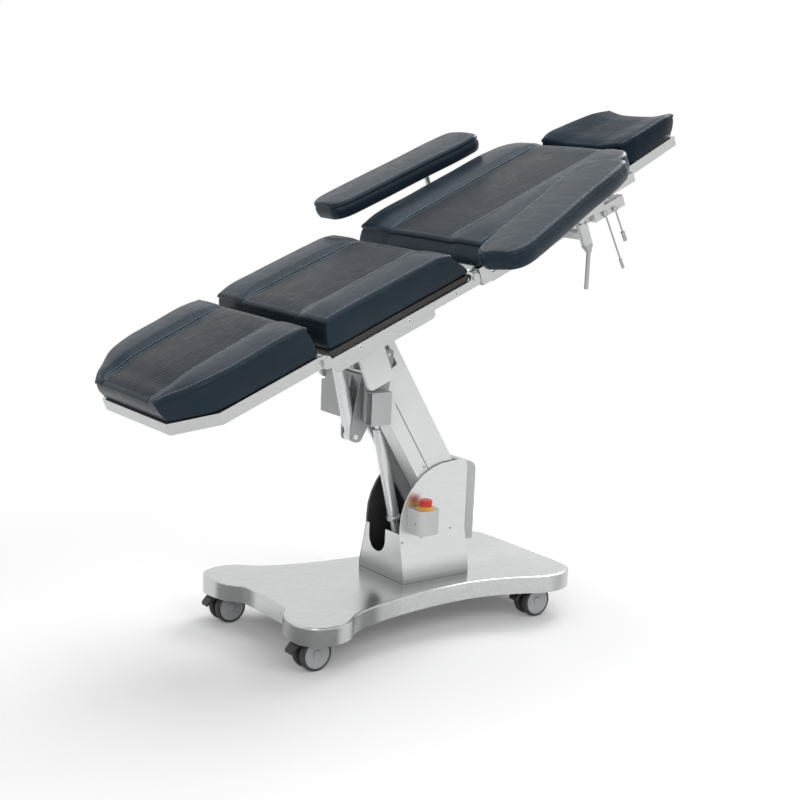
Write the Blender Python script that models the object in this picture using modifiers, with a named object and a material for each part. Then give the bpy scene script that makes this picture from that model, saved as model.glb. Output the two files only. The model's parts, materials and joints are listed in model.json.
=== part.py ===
"""Operating table: a five-section padded top that tilts on a parallelogram lift arm, over a wheeled steel base.

Metres, +Z up. +X points to the head end, -Y is the near side, which carries the emergency stop.
The origin is on the floor under the middle of the whole table. Every section is drawn in its own flat frame,
with x along the section, and is then tilted about its hinge by the empty that it is parented to.
"""

import math

import bmesh
import bpy
from mathutils import Matrix, Vector

# Fits and drawing quality
GAP = 0.0003
OVERRUN = 0.004
ROUND_SIDES = 16
SMALL_SIDES = 10
ARC_STEP = math.radians(22.5)
LARGE_RADIUS = 0.05
BEVEL_ANGLE = math.radians(50)
SHARP_ANGLE = math.radians(35)
FLAT_ANGLE = math.radians(0.5)
WELD = 0.000001
OUTLINE_STEPS = 2
PLATE_OUTLINE_STEPS = 1
NEARLY = 0.98

# Base: outline over the wheels, its steel cover and the heavy plate that it hides
BASE_MIDDLE_X = 0.0174
BASE_MIDDLE_Y = 0.0664
BASE_LENGTH = 1.064
BASE_FOOT_REACH = 0.559
BASE_HALF_WIDTH = 0.322
COVER_TOP = 0.147
SKIRT_HEIGHT = 0.054
COVER_SHEET = 0.003
COVER_EDGE_RADIUS = 0.006
PLATE_THICKNESS = 0.032
PLATE_INSET = 0.008
BASE_OUTLINE_SHARES = (
    (0.053, 0.0), (0.053, 0.295), (0.046, 0.375), (0.020, 0.475), (0.006, 0.60), (0.0, 0.78), (0.020, 0.92),
    (0.047, 0.975), (0.085, 1.0), (0.131, 0.968), (0.160, 0.90), (0.176, 0.848), (0.222, 0.773), (0.290, 0.705),
    (0.371, 0.650), (0.500, 0.605), (0.628, 0.602), (0.730, 0.662), (0.822, 0.770), (0.842, 0.810), (0.885, 0.838),
    (0.932, 0.832), (0.972, 0.765), (0.996, 0.640), (1.0, 0.30), (1.0, 0.0),
)

# Casters
WHEEL_RADIUS = 0.050
WHEEL_INNER_Y = 0.0085
WHEEL_OUTER_Y = 0.030
WHEEL_TYRE_EDGE = 0.004
WHEEL_HUB_RADIUS = 0.040
WHEEL_HUB_DISH = 0.0025
AXLE_RADIUS = 0.006
AXLE_GAP = 0.0004
CASTER_TRAIL = 0.011
CASTER_FOOT_INSET = 0.081
CASTER_FOOT_Y = 0.233
CASTER_HEAD_INSET = 0.122
CASTER_HEAD_Y = 0.195
CASTER_WEB = 0.014
CASTER_WEB_RADIUS = 0.026
CASTER_BOSS_RADIUS = 0.021
CASTER_BOSS_HEIGHT = 0.0095
CASTER_SIDES = 20
PEDAL_PIVOT_REACH = 0.030
PEDAL_PIVOT_HEIGHT = 0.1045
PEDAL_PIN_RADIUS = 0.003
PEDAL_EYE_RADIUS = 0.006
PEDAL_REACH = 0.046
PEDAL_DROP = 0.029
PEDAL_TAB = 0.014
PEDAL_TAB_DROP = 0.011
PEDAL_WIDTH = 0.034
PEDAL_THICKNESS = 0.009
PEDAL_FORK = 0.029

# Lift arm pivot, arm and parallel link
PIVOT_X = 0.103
PIVOT_Z = 0.320
ARM_LENGTH = 0.568
ARM_LEAN = math.radians(32.26)
ARM_HALF_WIDTH = 0.080
ARM_SHEET = 0.006
ARM_FOOT_EDGE = 0.0254
ARM_DEPTH = 0.110
ARM_TAIL = 0.038
ARM_TAIL_HEAD = 0.038
ARM_TAIL_RISE = 0.055
ARM_SHOULDER_RISE = 0.150
ARM_TOP_RISE = 0.043
ARM_FOOT_TOP_RISE = 0.0254
ARM_STEP_RISE = 0.032
ARM_CELL_HEAD = 0.0819
ARM_CELL_NEAR_WALL = 0.006
ARM_MIDDLE_WALL = 0.006
ARM_SLOT_TOP = 0.500
ARM_COVER_DEPTH = 0.1405
ARM_COVER_SHEET = 0.0022
ARM_COVER_EDGE_RADIUS = 0.012
ARM_COVER_START = 0.0206
ARM_TAIL_CORNER = 0.020
ARM_TAIL_HEAD_CORNER = 0.034
ARM_SHOULDER_CORNER = 0.015
COVER_CLEARANCE = 0.0015
SLOT_FAR_WALL = 0.014
SLOT_WIDTH = 0.076
ARM_SHAFT_RADIUS = 0.015
TILT_SHAFT_RADIUS = 0.014
LINK_OFFSET_X = 0.045
LINK_OFFSET_Z = 0.055
LINK_HALF_WIDTH = 0.009
LINK_THICKNESS = 0.012
LINK_PIN_RADIUS = 0.0055
LINK_MIDDLE_Y = -0.044
LINK_NOTCH_START = 0.048
LINK_NOTCH_DROP = 0.028

# Pedestal covers and the column inside them
PEDESTAL_FOOT_REACH = 0.186
PEDESTAL_HEAD_REACH = 0.067
PEDESTAL_TOP = 0.506
PEDESTAL_HALF_WIDTH = 0.088
PEDESTAL_FLARE = 0.027
FLARE_TOP = 0.290
FLARE_BOTTOM = 0.166
PEDESTAL_SHEET = 0.002
PEDESTAL_HEAD_CORNER = 0.022
FOOT_PANEL_TOP = 0.296
FOOT_PANEL_SETBACK = 0.001
FOOT_SLOT_DEPTH = 0.080
FOOT_SLOT_WIDTH = 0.083
COLUMN_PLATE = 0.005
COLUMN_FLOOR = 0.008
COLUMN_INSET = 0.004
COLUMN_BACK_TOP = 0.455
COLUMN_HEAD_SETBACK = 0.007
COLUMN_SHOULDER = 0.045
CHEEK_RETURN = 0.018

# Control box on the head side of the pedestal
BOX_DEPTH = 0.050
BOX_HALF_WIDTH = 0.068
BOX_BOTTOM = 0.240
BOX_TOP = 0.492
BOX_CORNER = 0.030
BOX_EDGE_RADIUS = 0.006
BOX_FOOT_INSET = 0.020

# Emergency stop on the near cheek
STOP_FROM_PIVOT = 0.117
STOP_LENGTH = 0.084
STOP_REACH = 0.063
STOP_BOTTOM = 0.301
STOP_TOP = 0.378
STOP_CORNER = 0.026
STOP_COLLAR_RADIUS = 0.029
STOP_COLLAR_PLATE = 0.0025
STOP_NECK_RADIUS = 0.018
STOP_NECK_HEIGHT = 0.009
STOP_BUTTON_RADIUS = 0.020
STOP_STEM_RADIUS = 0.007
STOP_STEM_LENGTH = 0.040
STOP_SHEET = 0.003
STOP_CAP = 0.010
STOP_TRAVEL = 0.006
GLAND_RADIUS = 0.0045
GLAND_LENGTH = 0.014
GLAND_BACK = 0.011

# Lift actuator, hinged low in the pedestal, pinned inside the arm's slot
LIFT_FOOT_X = 0.001
LIFT_FOOT_Z = 0.230
LIFT_TOP_ACROSS = 0.0165
LIFT_TOP_ALONG = 0.438
LIFT_MIDDLE_Y = ARM_HALF_WIDTH - SLOT_FAR_WALL - SLOT_WIDTH / 2
LIFT_TUBE_RADIUS = 0.0185
LIFT_TUBE_LENGTH = 0.386
LIFT_BORE_DEPTH = 0.180
LIFT_ROD_RADIUS = 0.011
LIFT_ROD_INSIDE = 0.080
LIFT_COLLAR_RADIUS = 0.023
LIFT_COLLAR_LOW = 0.083
LIFT_COLLAR_HEIGHT = 0.009
LIFT_NECK_RADIUS = 0.0145
LIFT_EYE_HALF = 0.015
LIFT_PIN_RADIUS = 0.008
LIFT_LUG = 0.010
LIFT_LUG_RADIUS = 0.017

# Level head on top of the arm
HEAD_LUG_FROM = 0.084
HEAD_LUG_PLATE = 0.012
HEAD_HALF_WIDTH = 0.130
HEAD_HEAD_REACH = 0.035
HEAD_DROP = 0.146
HEAD_WALL_TOP = 0.048
HEAD_SHEET = 0.0025
HEAD_LUG_REACH = 0.034
HEAD_LUG_TOP = 0.033
HEAD_LINK_REACH = 0.060
HEAD_LINK_FOOT = 0.030
HEAD_LINK_LOW = 0.040
HEAD_LINK_TOP = 0.070
HEAD_CORNER = 0.010
HEAD_WEB = 0.004
HEAD_WEB_FOOT = 0.030
HEAD_WEB_HEAD = 0.006
PANEL_NEAR_EDGE = 0.028
CLEVIS_PLATE = 0.007
CLEVIS_GAP = 0.042
CLEVIS_RADIUS = 0.016

# Tilt actuator between the level head and the seat
TILT_MIDDLE_Y = -0.040
TILT_FOOT_X = -0.044
TILT_FOOT_Z = -0.189
TILT_TOP_BACK = 0.0761
TILT_TOP_RISE = 0.0868
TILT_TUBE_RADIUS = 0.0195
TILT_TUBE_LOW = 0.034
TILT_TUBE_TOP = 0.222
TILT_ROD_RADIUS = 0.010
TILT_ROD_INSIDE = 0.088
TILT_BORE_DEPTH = 0.100
TILT_EYE_HALF = 0.016
TILT_PIN_RADIUS = 0.008
TILT_LUG = 0.010
TILT_LUG_GAP = 0.040
TILT_LUG_RADIUS = 0.015

# Seat section; its frame's origin is the leg hinge
SEAT_TILT = math.radians(22.35)
SEAT_LENGTH = 0.546
SEAT_PIVOT_ALONG = 0.2531
SEAT_PIVOT_DROP = 0.2046
FRAME_HALF_WIDTH = 0.292
BAR_START = 0.020
BAR_TOP = 0.003
BAR_HEIGHT = 0.024
BAR_THICKNESS = 0.009
BAR_EYE_RADIUS = 0.013
SIDE_PLATE_SHORT = 0.166
SIDE_PLATE_DROP = 0.048
SIDE_PLATE_CORNER = 0.016
PAN_START = 0.024
PAN_SHORT = 0.026
PAN_THICKNESS = 0.005
BEAM_OUTER = 0.1147
BEAM_WIDTH = 0.030
BEAM_START = 0.060
BEAM_SHORT = 0.076
YOKE_THICKNESS = 0.015
YOKE_FOOT_REACH = 0.057
YOKE_HEAD_REACH = 0.034
YOKE_BELOW = 0.024
YOKE_CORNER = 0.014
YOKE_SOCKET = 0.004
BOARD_TOP = 0.0155
BOARD_EDGE = 0.002
BOARD_HALF_WIDTH = 0.285
BOARD_START = 0.022
BOARD_SHORT = 0.021
SHELF_RISE = 0.0178

# Leg section
LEG_START = 0.013
LEG_LENGTH = 0.448
LEG_HALF_WIDTH = 0.287
LEG_TIP_HALF_WIDTH = 0.184
LEG_CHAMFER = 0.106
TRAY_DROP = 0.0164
TRAY_SHEET = 0.003
HINGE_ROD_RADIUS = 0.008
HINGE_HEAD_RADIUS = 0.0115
HINGE_HEAD = 0.005
LEG_LUG_RADIUS = 0.0155
LEG_LUG = 0.0057
LEG_LUG_CLEAR = 0.018

# Back section; its frame's origin is the back hinge
BACK_ANGLE = math.radians(1.65)
BACK_PAN_START = 0.050
BACK_PAN_END = 0.690
BACK_PAN_HALF_WIDTH = 0.270
BACK_PAN_DROP = 0.012
KNUCKLE_START = 0.0175
KNUCKLE_END = 0.058
KNUCKLE_DROP = 0.036
KNUCKLE_RISE = 0.0165
KNUCKLE_FROM = 0.262
RAIL_DROP = 0.015
RAIL_HEIGHT = 0.025
RAIL_WIDTH = 0.010
RAIL_END = 0.596
SOCKET_Y = 0.075
SOCKET_HALF = 0.014
SOCKET_START = 0.500
BACK_LUG_RADIUS = 0.0135
BACK_LUG_FROM = 0.262
BACK_LUG_TO = 0.2822

# Headrest; it slides on two bars and tilts on their cross bar
HEADREST_ANGLE = math.radians(-2.2)
HEADREST_AXIS_X = 0.722
HEADREST_AXIS_DROP = 0.026
HEADREST_BAR_RADIUS = 0.008
HEADREST_BAR_START = 0.520
HEADREST_CROSS_RADIUS = 0.011
HEADREST_CROSS_HALF = 0.110
HEADREST_START = 0.016
HEADREST_LENGTH = 0.266
HEADREST_FOOT_HALF_WIDTH = 0.196
HEADREST_END_HALF_WIDTH = 0.150
HEADREST_TRAY_HEIGHT = 0.031
HEADREST_TRAY_TOP = 0.033
HEADREST_KNUCKLE_RADIUS = 0.017
HEADREST_KNUCKLE_FROM = 0.020
HEADREST_KNUCKLE_TO = 0.050
HEADREST_DISH = 0.012
HEADREST_NOTCH = 0.016

# Arm supports, clamped to the back section's rails
SUPPORT_PIVOT_X = 0.480
SUPPORT_PIVOT_RISE = 0.0055
SUPPORT_TOP_RISE = 0.152
SUPPORT_NEAR_POSE = (math.radians(0.0), math.radians(15.0), 0.180, 0.440)
SUPPORT_FAR_POSE = (math.radians(-1.5), 0.0, 0.073, 0.396)
SUPPORT_EYE_RADIUS = 0.014
SUPPORT_EYE_WIDTH = 0.022
SUPPORT_PIN_RADIUS = 0.007
SUPPORT_PLATE_THICKNESS = 0.004
SUPPORT_PLATE_INSET = 0.025
PAD_LENGTH = 0.612
PAD_FOOT_REACH = 0.415
PAD_WIDTH = 0.167
PAD_THICKNESS = 0.062
PAD_CORNER = 0.060
PAD_FOOT_CURVE = 0.090
PAD_FOOT_SHARES = ((0.0, 0.48), (0.1, 0.72), (0.3, 0.89), (0.61, 0.98), (1.0, 1.0))
PAD_HEAD_CURVE = 0.050
PAD_HEAD_SHARES = ((5.0, 1.0), (1.0, 1.0), (0.4, 0.94), (0.1, 0.82), (0.0, 0.66))
CLAMP_START = 0.465
CLAMP_LENGTH = 0.128
CLAMP_LIP = 0.0045
CLAMP_OUTER = 0.308
CLAMP_EAR = 0.301
POST_RADIUS = 0.009
SLEEVE_RADIUS = 0.017
SLEEVE_TOP = 0.038
SLEEVE_DROP = 0.026
SUPPORT_ARM_HALF = 0.011
HANDLE_COLLAR = 0.006
HANDLE_NECK = 0.030
HANDLE_RADIUS = 0.0065
HANDLE_LENGTH = 0.110
LEVER_EYE = 0.006
LEVER_EYE_RADIUS = 0.009
LEVER_PIN_RADIUS = 0.004
LEVER_TIP = 0.030
LEVER_LEAN = math.radians(5)
LEVER_LONG_X = 0.505
LEVER_LONG_DROP = 0.032
LEVER_LONG_LENGTH = 0.190
LEVER_LONG_RADIUS = 0.005
LEVER_SHORT_X = 0.547
LEVER_SHORT_DROP = 0.036
LEVER_SHORT_LENGTH = 0.110
LEVER_SHORT_RADIUS = 0.0065

# Pads: each station along one is (top x, top half width, low x, low half width, top height)
SEAT_PAD_FOOT = (
    (0.036, 0.286, 0.022, 0.282, 0.102), (0.070, 0.292, 0.060, 0.286, 0.107), (0.170, 0.294, 0.170, 0.286, 0.109),
)
# The seat's head end is measured back from the back hinge
SEAT_PAD_HEAD = (
    (0.266, 0.294, 0.266, 0.286, 0.109), (0.156, 0.294, 0.156, 0.286, 0.108), (0.086, 0.292, 0.056, 0.286, 0.105),
    (0.060, 0.289, 0.011, 0.284, 0.099),
)
LEG_PAD = (
    (-0.456, 0.172, -0.446, 0.182, 0.084), (-0.434, 0.196, -0.430, 0.203, 0.092),
    (-0.400, 0.226, -0.397, 0.234, 0.097), (-0.350, 0.264, -0.350, 0.276, 0.107),
    (-0.290, 0.283, -0.300, 0.285, 0.112), (-0.180, 0.287, -0.180, 0.286, 0.116),
    (-0.060, 0.288, -0.050, 0.286, 0.118), (-0.020, 0.284, -0.010, 0.283, 0.114),
)
BACK_PAD = (
    (0.046, 0.294, 0.016, 0.292, 0.084), (0.090, 0.300, 0.070, 0.298, 0.090), (0.250, 0.301, 0.250, 0.299, 0.092),
    (0.430, 0.301, 0.430, 0.299, 0.092), (0.600, 0.300, 0.600, 0.298, 0.091), (0.668, 0.282, 0.665, 0.282, 0.089),
    (0.704, 0.242, 0.700, 0.246, 0.085), (0.716, 0.202, 0.714, 0.208, 0.080),
)
HEADREST_PAD = (
    (0.018, 0.188, 0.020, 0.186, 0.107), (0.050, 0.199, 0.045, 0.194, 0.112), (0.110, 0.195, 0.110, 0.187, 0.113),
    (0.180, 0.184, 0.175, 0.175, 0.113), (0.250, 0.167, 0.240, 0.159, 0.112), (0.302, 0.144, 0.281, 0.142, 0.107),
)
CUSHION_EDGE = 0.018
CUSHION_DRAW_IN = 0.004
SEAM_DEPTH = 0.004
SEAM_HALF_WIDTH = 0.008
PANEL_HALF_WIDTH = 0.150
PANEL_DISH = 0.014
PANEL_ROLL = 0.030
PANEL_LIMIT_SHARE = 0.78
INNER_COLUMN_SHARES = (0.0,)
OUTER_COLUMN_SHARES = (0.55, 1.0)
LOW_EDGE_SHARE = 0.5
RIM_SHARES = (
    (0.70, 0.28, 1.0), (1.0, 1.0, 1.0), (1.0, 1.0, 0.5), (1.0, 0.0, 0.0), (0.4, 1.0, 0.0),
)


def make_collection(name):
    collection = bpy.data.collections.new(name)
    bpy.context.scene.collection.children.link(collection)
    return collection


def make_material(name, colour, roughness, metallic):
    material = bpy.data.materials.new(name)
    material.use_nodes = True
    shader = material.node_tree.nodes["Principled BSDF"]
    shader.inputs["Base Color"].default_value = (*colour, 1.0)
    shader.inputs["Roughness"].default_value = roughness
    shader.inputs["Metallic"].default_value = metallic
    return material


def tidy(bm, name):
    """Turns a bmesh into a mesh with its faces pointing out."""
    bmesh.ops.remove_doubles(bm, verts=bm.verts, dist=WELD)
    bmesh.ops.recalc_face_normals(bm, faces=bm.faces)
    if bm.calc_volume(signed=True) < 0:
        bmesh.ops.reverse_faces(bm, faces=bm.faces)
    mesh = bpy.data.meshes.new(name)
    bm.to_mesh(mesh)
    bm.free()
    return mesh


def box(low, high):
    low, high = Vector(low), Vector(high)
    bm = bmesh.new()
    place = Matrix.Translation((low + high) / 2) @ Matrix.Diagonal((*(high - low), 1.0))
    bmesh.ops.create_cube(bm, size=1.0, matrix=place)
    return tidy(bm, "box")


def rod(start, end, radius, sides=ROUND_SIDES):
    start, end = Vector(start), Vector(end)
    along = end - start
    place = Matrix.Translation((start + end) / 2) @ along.to_track_quat("Z", "Y").to_matrix().to_4x4()
    bm = bmesh.new()
    bmesh.ops.create_cone(
        bm, cap_ends=True, segments=sides, radius1=radius, radius2=radius, depth=along.length, matrix=place
    )
    return tidy(bm, "rod")


def prism(points, plane, low, high):
    """A flat outline given depth, from low to high, across its plane: flat (x, y), side (x, z) or front (y, z)."""
    curve = bpy.data.curves.new("outline", "CURVE")
    curve.dimensions = "2D"
    curve.fill_mode = "BOTH"
    curve.extrude = (high - low) / 2
    spline = curve.splines.new("POLY")
    spline.points.add(len(points) - 1)
    for point, (across, up) in zip(spline.points, points):
        point.co = (across, up, 0.0, 1.0)
    spline.use_cyclic_u = True
    guide = bpy.data.objects.new("outline", curve)
    bpy.context.scene.collection.objects.link(guide)
    bpy.context.view_layer.update()
    graph = bpy.context.evaluated_depsgraph_get()
    mesh = bpy.data.meshes.new_from_object(guide.evaluated_get(graph))
    bpy.data.objects.remove(guide)
    bpy.data.curves.remove(curve)
    middle = (low + high) / 2
    if plane == "side":
        mesh.transform(Matrix.Rotation(math.pi / 2, 4, "X") @ Matrix.Translation((0.0, 0.0, -middle)))
    elif plane == "front":
        stand = Matrix(((0, 0, 1, 0), (1, 0, 0, 0), (0, 1, 0, 0), (0, 0, 0, 1)))
        mesh.transform(stand @ Matrix.Translation((0.0, 0.0, middle)))
    else:
        mesh.transform(Matrix.Translation((0.0, 0.0, middle)))
    bm = bmesh.new()
    bm.from_mesh(mesh)
    bpy.data.meshes.remove(mesh)
    bmesh.ops.remove_doubles(bm, verts=bm.verts, dist=WELD)
    bmesh.ops.dissolve_limit(bm, angle_limit=FLAT_ANGLE, verts=bm.verts, edges=bm.edges)
    return tidy(bm, "prism")


def rounded(corners):
    """The points of a closed outline whose corners are (across, up, radius)."""
    points = []
    for index, (across, up, radius) in enumerate(corners):
        corner = Vector((across, up))
        if radius == 0:
            points.append((across, up))
            continue
        before = (Vector(corners[index - 1][:2]) - corner).normalized()
        after = (Vector(corners[(index + 1) % len(corners)][:2]) - corner).normalized()
        half = before.angle(after) / 2
        centre = corner + (before + after).normalized() * (radius / math.sin(half))
        start = corner + before * (radius / math.tan(half)) - centre
        end = corner + after * (radius / math.tan(half)) - centre
        first = math.atan2(start.y, start.x)
        sweep = (math.atan2(end.y, end.x) - first + math.pi) % math.tau - math.pi
        steps = max(1, round(abs(sweep) / ARC_STEP))
        if radius > LARGE_RADIUS:
            steps *= 2
        for step in range(steps + 1):
            angle = first + sweep * step / steps
            points.append((centre.x + radius * math.cos(angle), centre.y + radius * math.sin(angle)))
    return points


def smooth_line(points, steps):
    """A curve through the points, with some points added between each two."""
    line = []
    for index in range(len(points) - 1):
        before = Vector(points[max(index - 1, 0)])
        start = Vector(points[index])
        end = Vector(points[index + 1])
        after = Vector(points[min(index + 2, len(points) - 1)])
        for step in range(steps):
            t = step / steps
            lift = (end - before) * t + (2 * before - 5 * start + 4 * end - after) * t * t
            lift += (3 * (start - end) + after - before) * t * t * t
            line.append(tuple(start + lift / 2))
    line.append(tuple(points[-1]))
    return line


def inset(points, distance):
    """Moves each point of a closed outline inwards, square to the outline."""
    moved = []
    area = sum(a[0] * b[1] - b[0] * a[1] for a, b in zip(points, points[1:] + points[:1]))
    side = math.copysign(distance, area)
    for index, point in enumerate(points):
        along = Vector(points[(index + 1) % len(points)]) - Vector(points[index - 1])
        along.normalize()
        moved.append((point[0] - along.y * side, point[1] + along.x * side))
    return moved


def inset_corners(corners, distance):
    """A straight-sided outline moved inwards by one distance on every side."""
    moved = []
    area = sum(a[0] * b[1] - b[0] * a[1] for a, b in zip(corners, corners[1:] + corners[:1]))
    side = math.copysign(1.0, area)
    for index, point in enumerate(corners):
        spot = Vector(point)
        before = (spot - Vector(corners[index - 1])).normalized()
        after = (Vector(corners[(index + 1) % len(corners)]) - spot).normalized()
        inward = (Vector((-before.y, before.x)) + Vector((-after.y, after.x))) * side
        moved.append(tuple(spot + inward * (distance / (1 + before.dot(after)))))
    return moved


def bevel_top(part, radius):
    """Rounds the edges of the part's flat top."""
    mesh = part.data
    top = max(vertex.co.z for vertex in mesh.vertices)
    weights = mesh.attributes.new("bevel_weight_edge", "FLOAT", "EDGE")
    for edge in mesh.edges:
        if all(top - mesh.vertices[index].co.z < WELD for index in edge.vertices):
            weights.data[edge.index].value = 1.0
    bevel = part.modifiers.new("Top edge", "BEVEL")
    bevel.width = radius
    bevel.segments = 2
    bevel.limit_method = "WEIGHT"


def mirrored(points):
    return [(x, -y) for x, y in reversed(points)]


def put(name, mesh, parent, material, edge=0.0, edge_steps=2):
    """Makes the node called name from a mesh drawn in its parent's frame."""
    part = bpy.data.objects.new(name, mesh)
    PARTS.objects.link(part)
    part.parent = parent
    mesh.name = name
    mesh.materials.append(material)
    mesh.shade_smooth()
    mesh.set_sharp_from_angle(angle=SHARP_ANGLE)
    if edge:
        bevel = part.modifiers.new("Edges", "BEVEL")
        bevel.width = edge
        bevel.segments = edge_steps
        bevel.limit_method = "ANGLE"
        bevel.angle_limit = BEVEL_ANGLE
    return part


def change(part, operation, mesh):
    """Joins a solid to the part, cuts it away or keeps only what lies in it."""
    tool = bpy.data.objects.new(part.name + "_" + operation.lower(), mesh)
    CUTTERS.objects.link(tool)
    tool.parent = part.parent
    tool.hide_render = True
    tool.display_type = "WIRE"
    boolean = part.modifiers.new(operation.title(), "BOOLEAN")
    boolean.operation = operation
    boolean.solver = "EXACT"
    boolean.object = tool


def join(part, mesh):
    change(part, "UNION", mesh)


def cut(part, mesh):
    change(part, "DIFFERENCE", mesh)


def turned(name, profile, parent, material, at=(0.0, 0.0, 0.0), axis="Z", sides=ROUND_SIDES):
    """A round piece from its (radius, height) profile, given from its top down its outer side."""
    mesh = bpy.data.meshes.new(name)
    edges = [(index, index + 1) for index in range(len(profile) - 1)]
    mesh.from_pydata([(radius, 0.0, height) for radius, height in profile], edges, [])
    part = put(name, mesh, parent, material)
    part.location = at
    if axis == "Y":
        part.rotation_euler = (-math.pi / 2, 0.0, 0.0)
    screw = part.modifiers.new("Turn", "SCREW")
    screw.axis = "Z"
    screw.steps = sides
    screw.render_steps = sides
    screw.use_merge_vertices = True
    screw.merge_threshold = WELD
    return part


def make_axis(name, parent, at, lean=0.0):
    """An empty on a joint's axis; a positive lean raises its head end."""
    empty = bpy.data.objects.new(name, None)
    PARTS.objects.link(empty)
    empty.parent = parent
    empty.location = at
    empty.rotation_euler = (0.0, -lean, 0.0)
    return empty


def half_columns(half, panel):
    """The places across a pad's top, from its middle to its edge."""
    seam = min(panel, half * PANEL_LIMIT_SHARE)
    inner = seam - SEAM_HALF_WIDTH
    outer = seam + SEAM_HALF_WIDTH
    columns = [share * inner for share in INNER_COLUMN_SHARES]
    columns += [inner, seam, outer]
    columns += [outer + (half - outer) * share for share in OUTER_COLUMN_SHARES]
    return columns, seam


def pad_height(top, y, half, seam, dish, bowl):
    """The height of a pad's top, lower in its middle panel or in a bowl, with a groove at the seam."""
    reach = abs(y)
    if bowl:
        return top - dish * (1 - (reach / half) ** 2)
    rise = min(max((reach - seam) / PANEL_ROLL, 0.0), 1.0)
    groove = SEAM_DEPTH if dish and abs(reach - seam) < GAP else 0.0
    return top - dish * (1 - rise * rise * (3 - 2 * rise)) - groove


def cushion(name, parent, material, stations, low, panel, dish, middle_y=0.0, notch=0.0, bowl=False):
    """A pad with a rounded rim and drawn-in sides. Its stations run along it from its foot end, and each is
    (top x, top half width, low x, low half width, top height)."""
    rows = len(stations)
    half_count = len(INNER_COLUMN_SHARES) + len(OUTER_COLUMN_SHARES) + 3
    count = 2 * half_count - 1
    middle = (stations[0][0] + stations[-1][0]) / 2
    reach = (stations[-1][0] - stations[0][0]) / 2
    widest = max(station[1] for station in stations)

    def place(row, column, use_low):
        top_x, top_half, low_x, low_half, _ = stations[row]
        columns, _ = half_columns(low_half if use_low else top_half, panel)
        signed = column - (half_count - 1)
        y = math.copysign(columns[abs(signed)], signed)
        x = low_x if use_low else top_x
        if row == rows - 1 and not use_low:
            x -= notch * (1 - (y / top_half) ** 2)
        return Vector((x, y))

    def pull(spot, distance):
        across = distance * (spot.x - middle) / reach
        return Vector((spot.x - across, spot.y * (1 - distance / widest)))

    bm = bmesh.new()
    bmesh.ops.create_grid(bm, x_segments=rows - 1, y_segments=count - 1, size=1.0)
    row_layer = bm.verts.layers.int.new("row")
    column_layer = bm.verts.layers.int.new("column")
    for vertex in bm.verts:
        row = round((vertex.co.x + 1) / 2 * (rows - 1))
        column = round((vertex.co.y + 1) / 2 * (count - 1))
        vertex[row_layer] = row
        vertex[column_layer] = column
        _, half, _, _, top = stations[row]
        _, seam = half_columns(half, panel)
        spot = place(row, column, False)
        height = pad_height(top, spot.y, half, seam, dish, bowl)
        spot = pull(spot, CUSHION_EDGE)
        vertex.co = (spot.x, spot.y + middle_y, height)

    edges = [edge for edge in bm.edges if edge.is_boundary]
    for out_share, drop_share, level in RIM_SHARES:
        grown = bmesh.ops.extrude_edge_only(bm, edges=edges)["geom"]
        edges = [item for item in grown if isinstance(item, bmesh.types.BMEdge)]
        for vertex in (item for item in grown if isinstance(item, bmesh.types.BMVert)):
            row, column = vertex[row_layer], vertex[column_layer]
            _, half, _, _, top = stations[row]
            _, seam = half_columns(half, panel)
            top_spot = place(row, column, False)
            spot = place(row, column, True).lerp(top_spot, level)
            spot = pull(spot, (1 - out_share) * CUSHION_EDGE + CUSHION_DRAW_IN * math.sin(math.pi * level))
            rim = pad_height(top, top_spot.y, half, seam, dish, bowl) - CUSHION_EDGE * drop_share
            height = low + (rim - low) * level
            if level == 0:
                height = low + CUSHION_EDGE * LOW_EDGE_SHARE * (1 - drop_share)
            vertex.co = (spot.x, spot.y + middle_y, height)
        edges = [edge for edge in edges if edge.is_boundary]
    bmesh.ops.contextual_create(bm, geom=edges)
    return put(name, tidy(bm, name), parent, material)


def base_outline(steps):
    """The base from above: three lobes over the wheels, drawn for one side and mirrored."""
    half = [
        (BASE_LENGTH * along - BASE_FOOT_REACH, BASE_HALF_WIDTH * across) for along, across in BASE_OUTLINE_SHARES
    ]
    half = smooth_line(half, steps)
    return half + mirrored(half)[1:-1]


def pedestal_section(half_width, top):
    """The pedestal from its foot end: upright above a flared skirt."""
    skirt = half_width + PEDESTAL_FLARE
    return [
        (-skirt, COVER_TOP + GAP), (-skirt, FLARE_BOTTOM), (-half_width, FLARE_TOP), (-half_width, top),
        (half_width, top), (half_width, FLARE_TOP), (skirt, FLARE_BOTTOM), (skirt, COVER_TOP + GAP),
    ]


def pedestal_side(setback, head_setback):
    """The pedestal from the side, round about the arm's pivot at its foot end."""
    foot = PIVOT_X - PEDESTAL_FOOT_REACH + setback
    head = PIVOT_X + PEDESTAL_HEAD_REACH - head_setback
    top = PEDESTAL_TOP - setback
    return rounded([
        (foot, COVER_TOP + GAP, 0.0), (foot, top, PEDESTAL_FOOT_REACH - setback),
        (head, top, PEDESTAL_HEAD_CORNER - setback), (head, COVER_TOP + GAP, 0.0),
    ])


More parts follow.
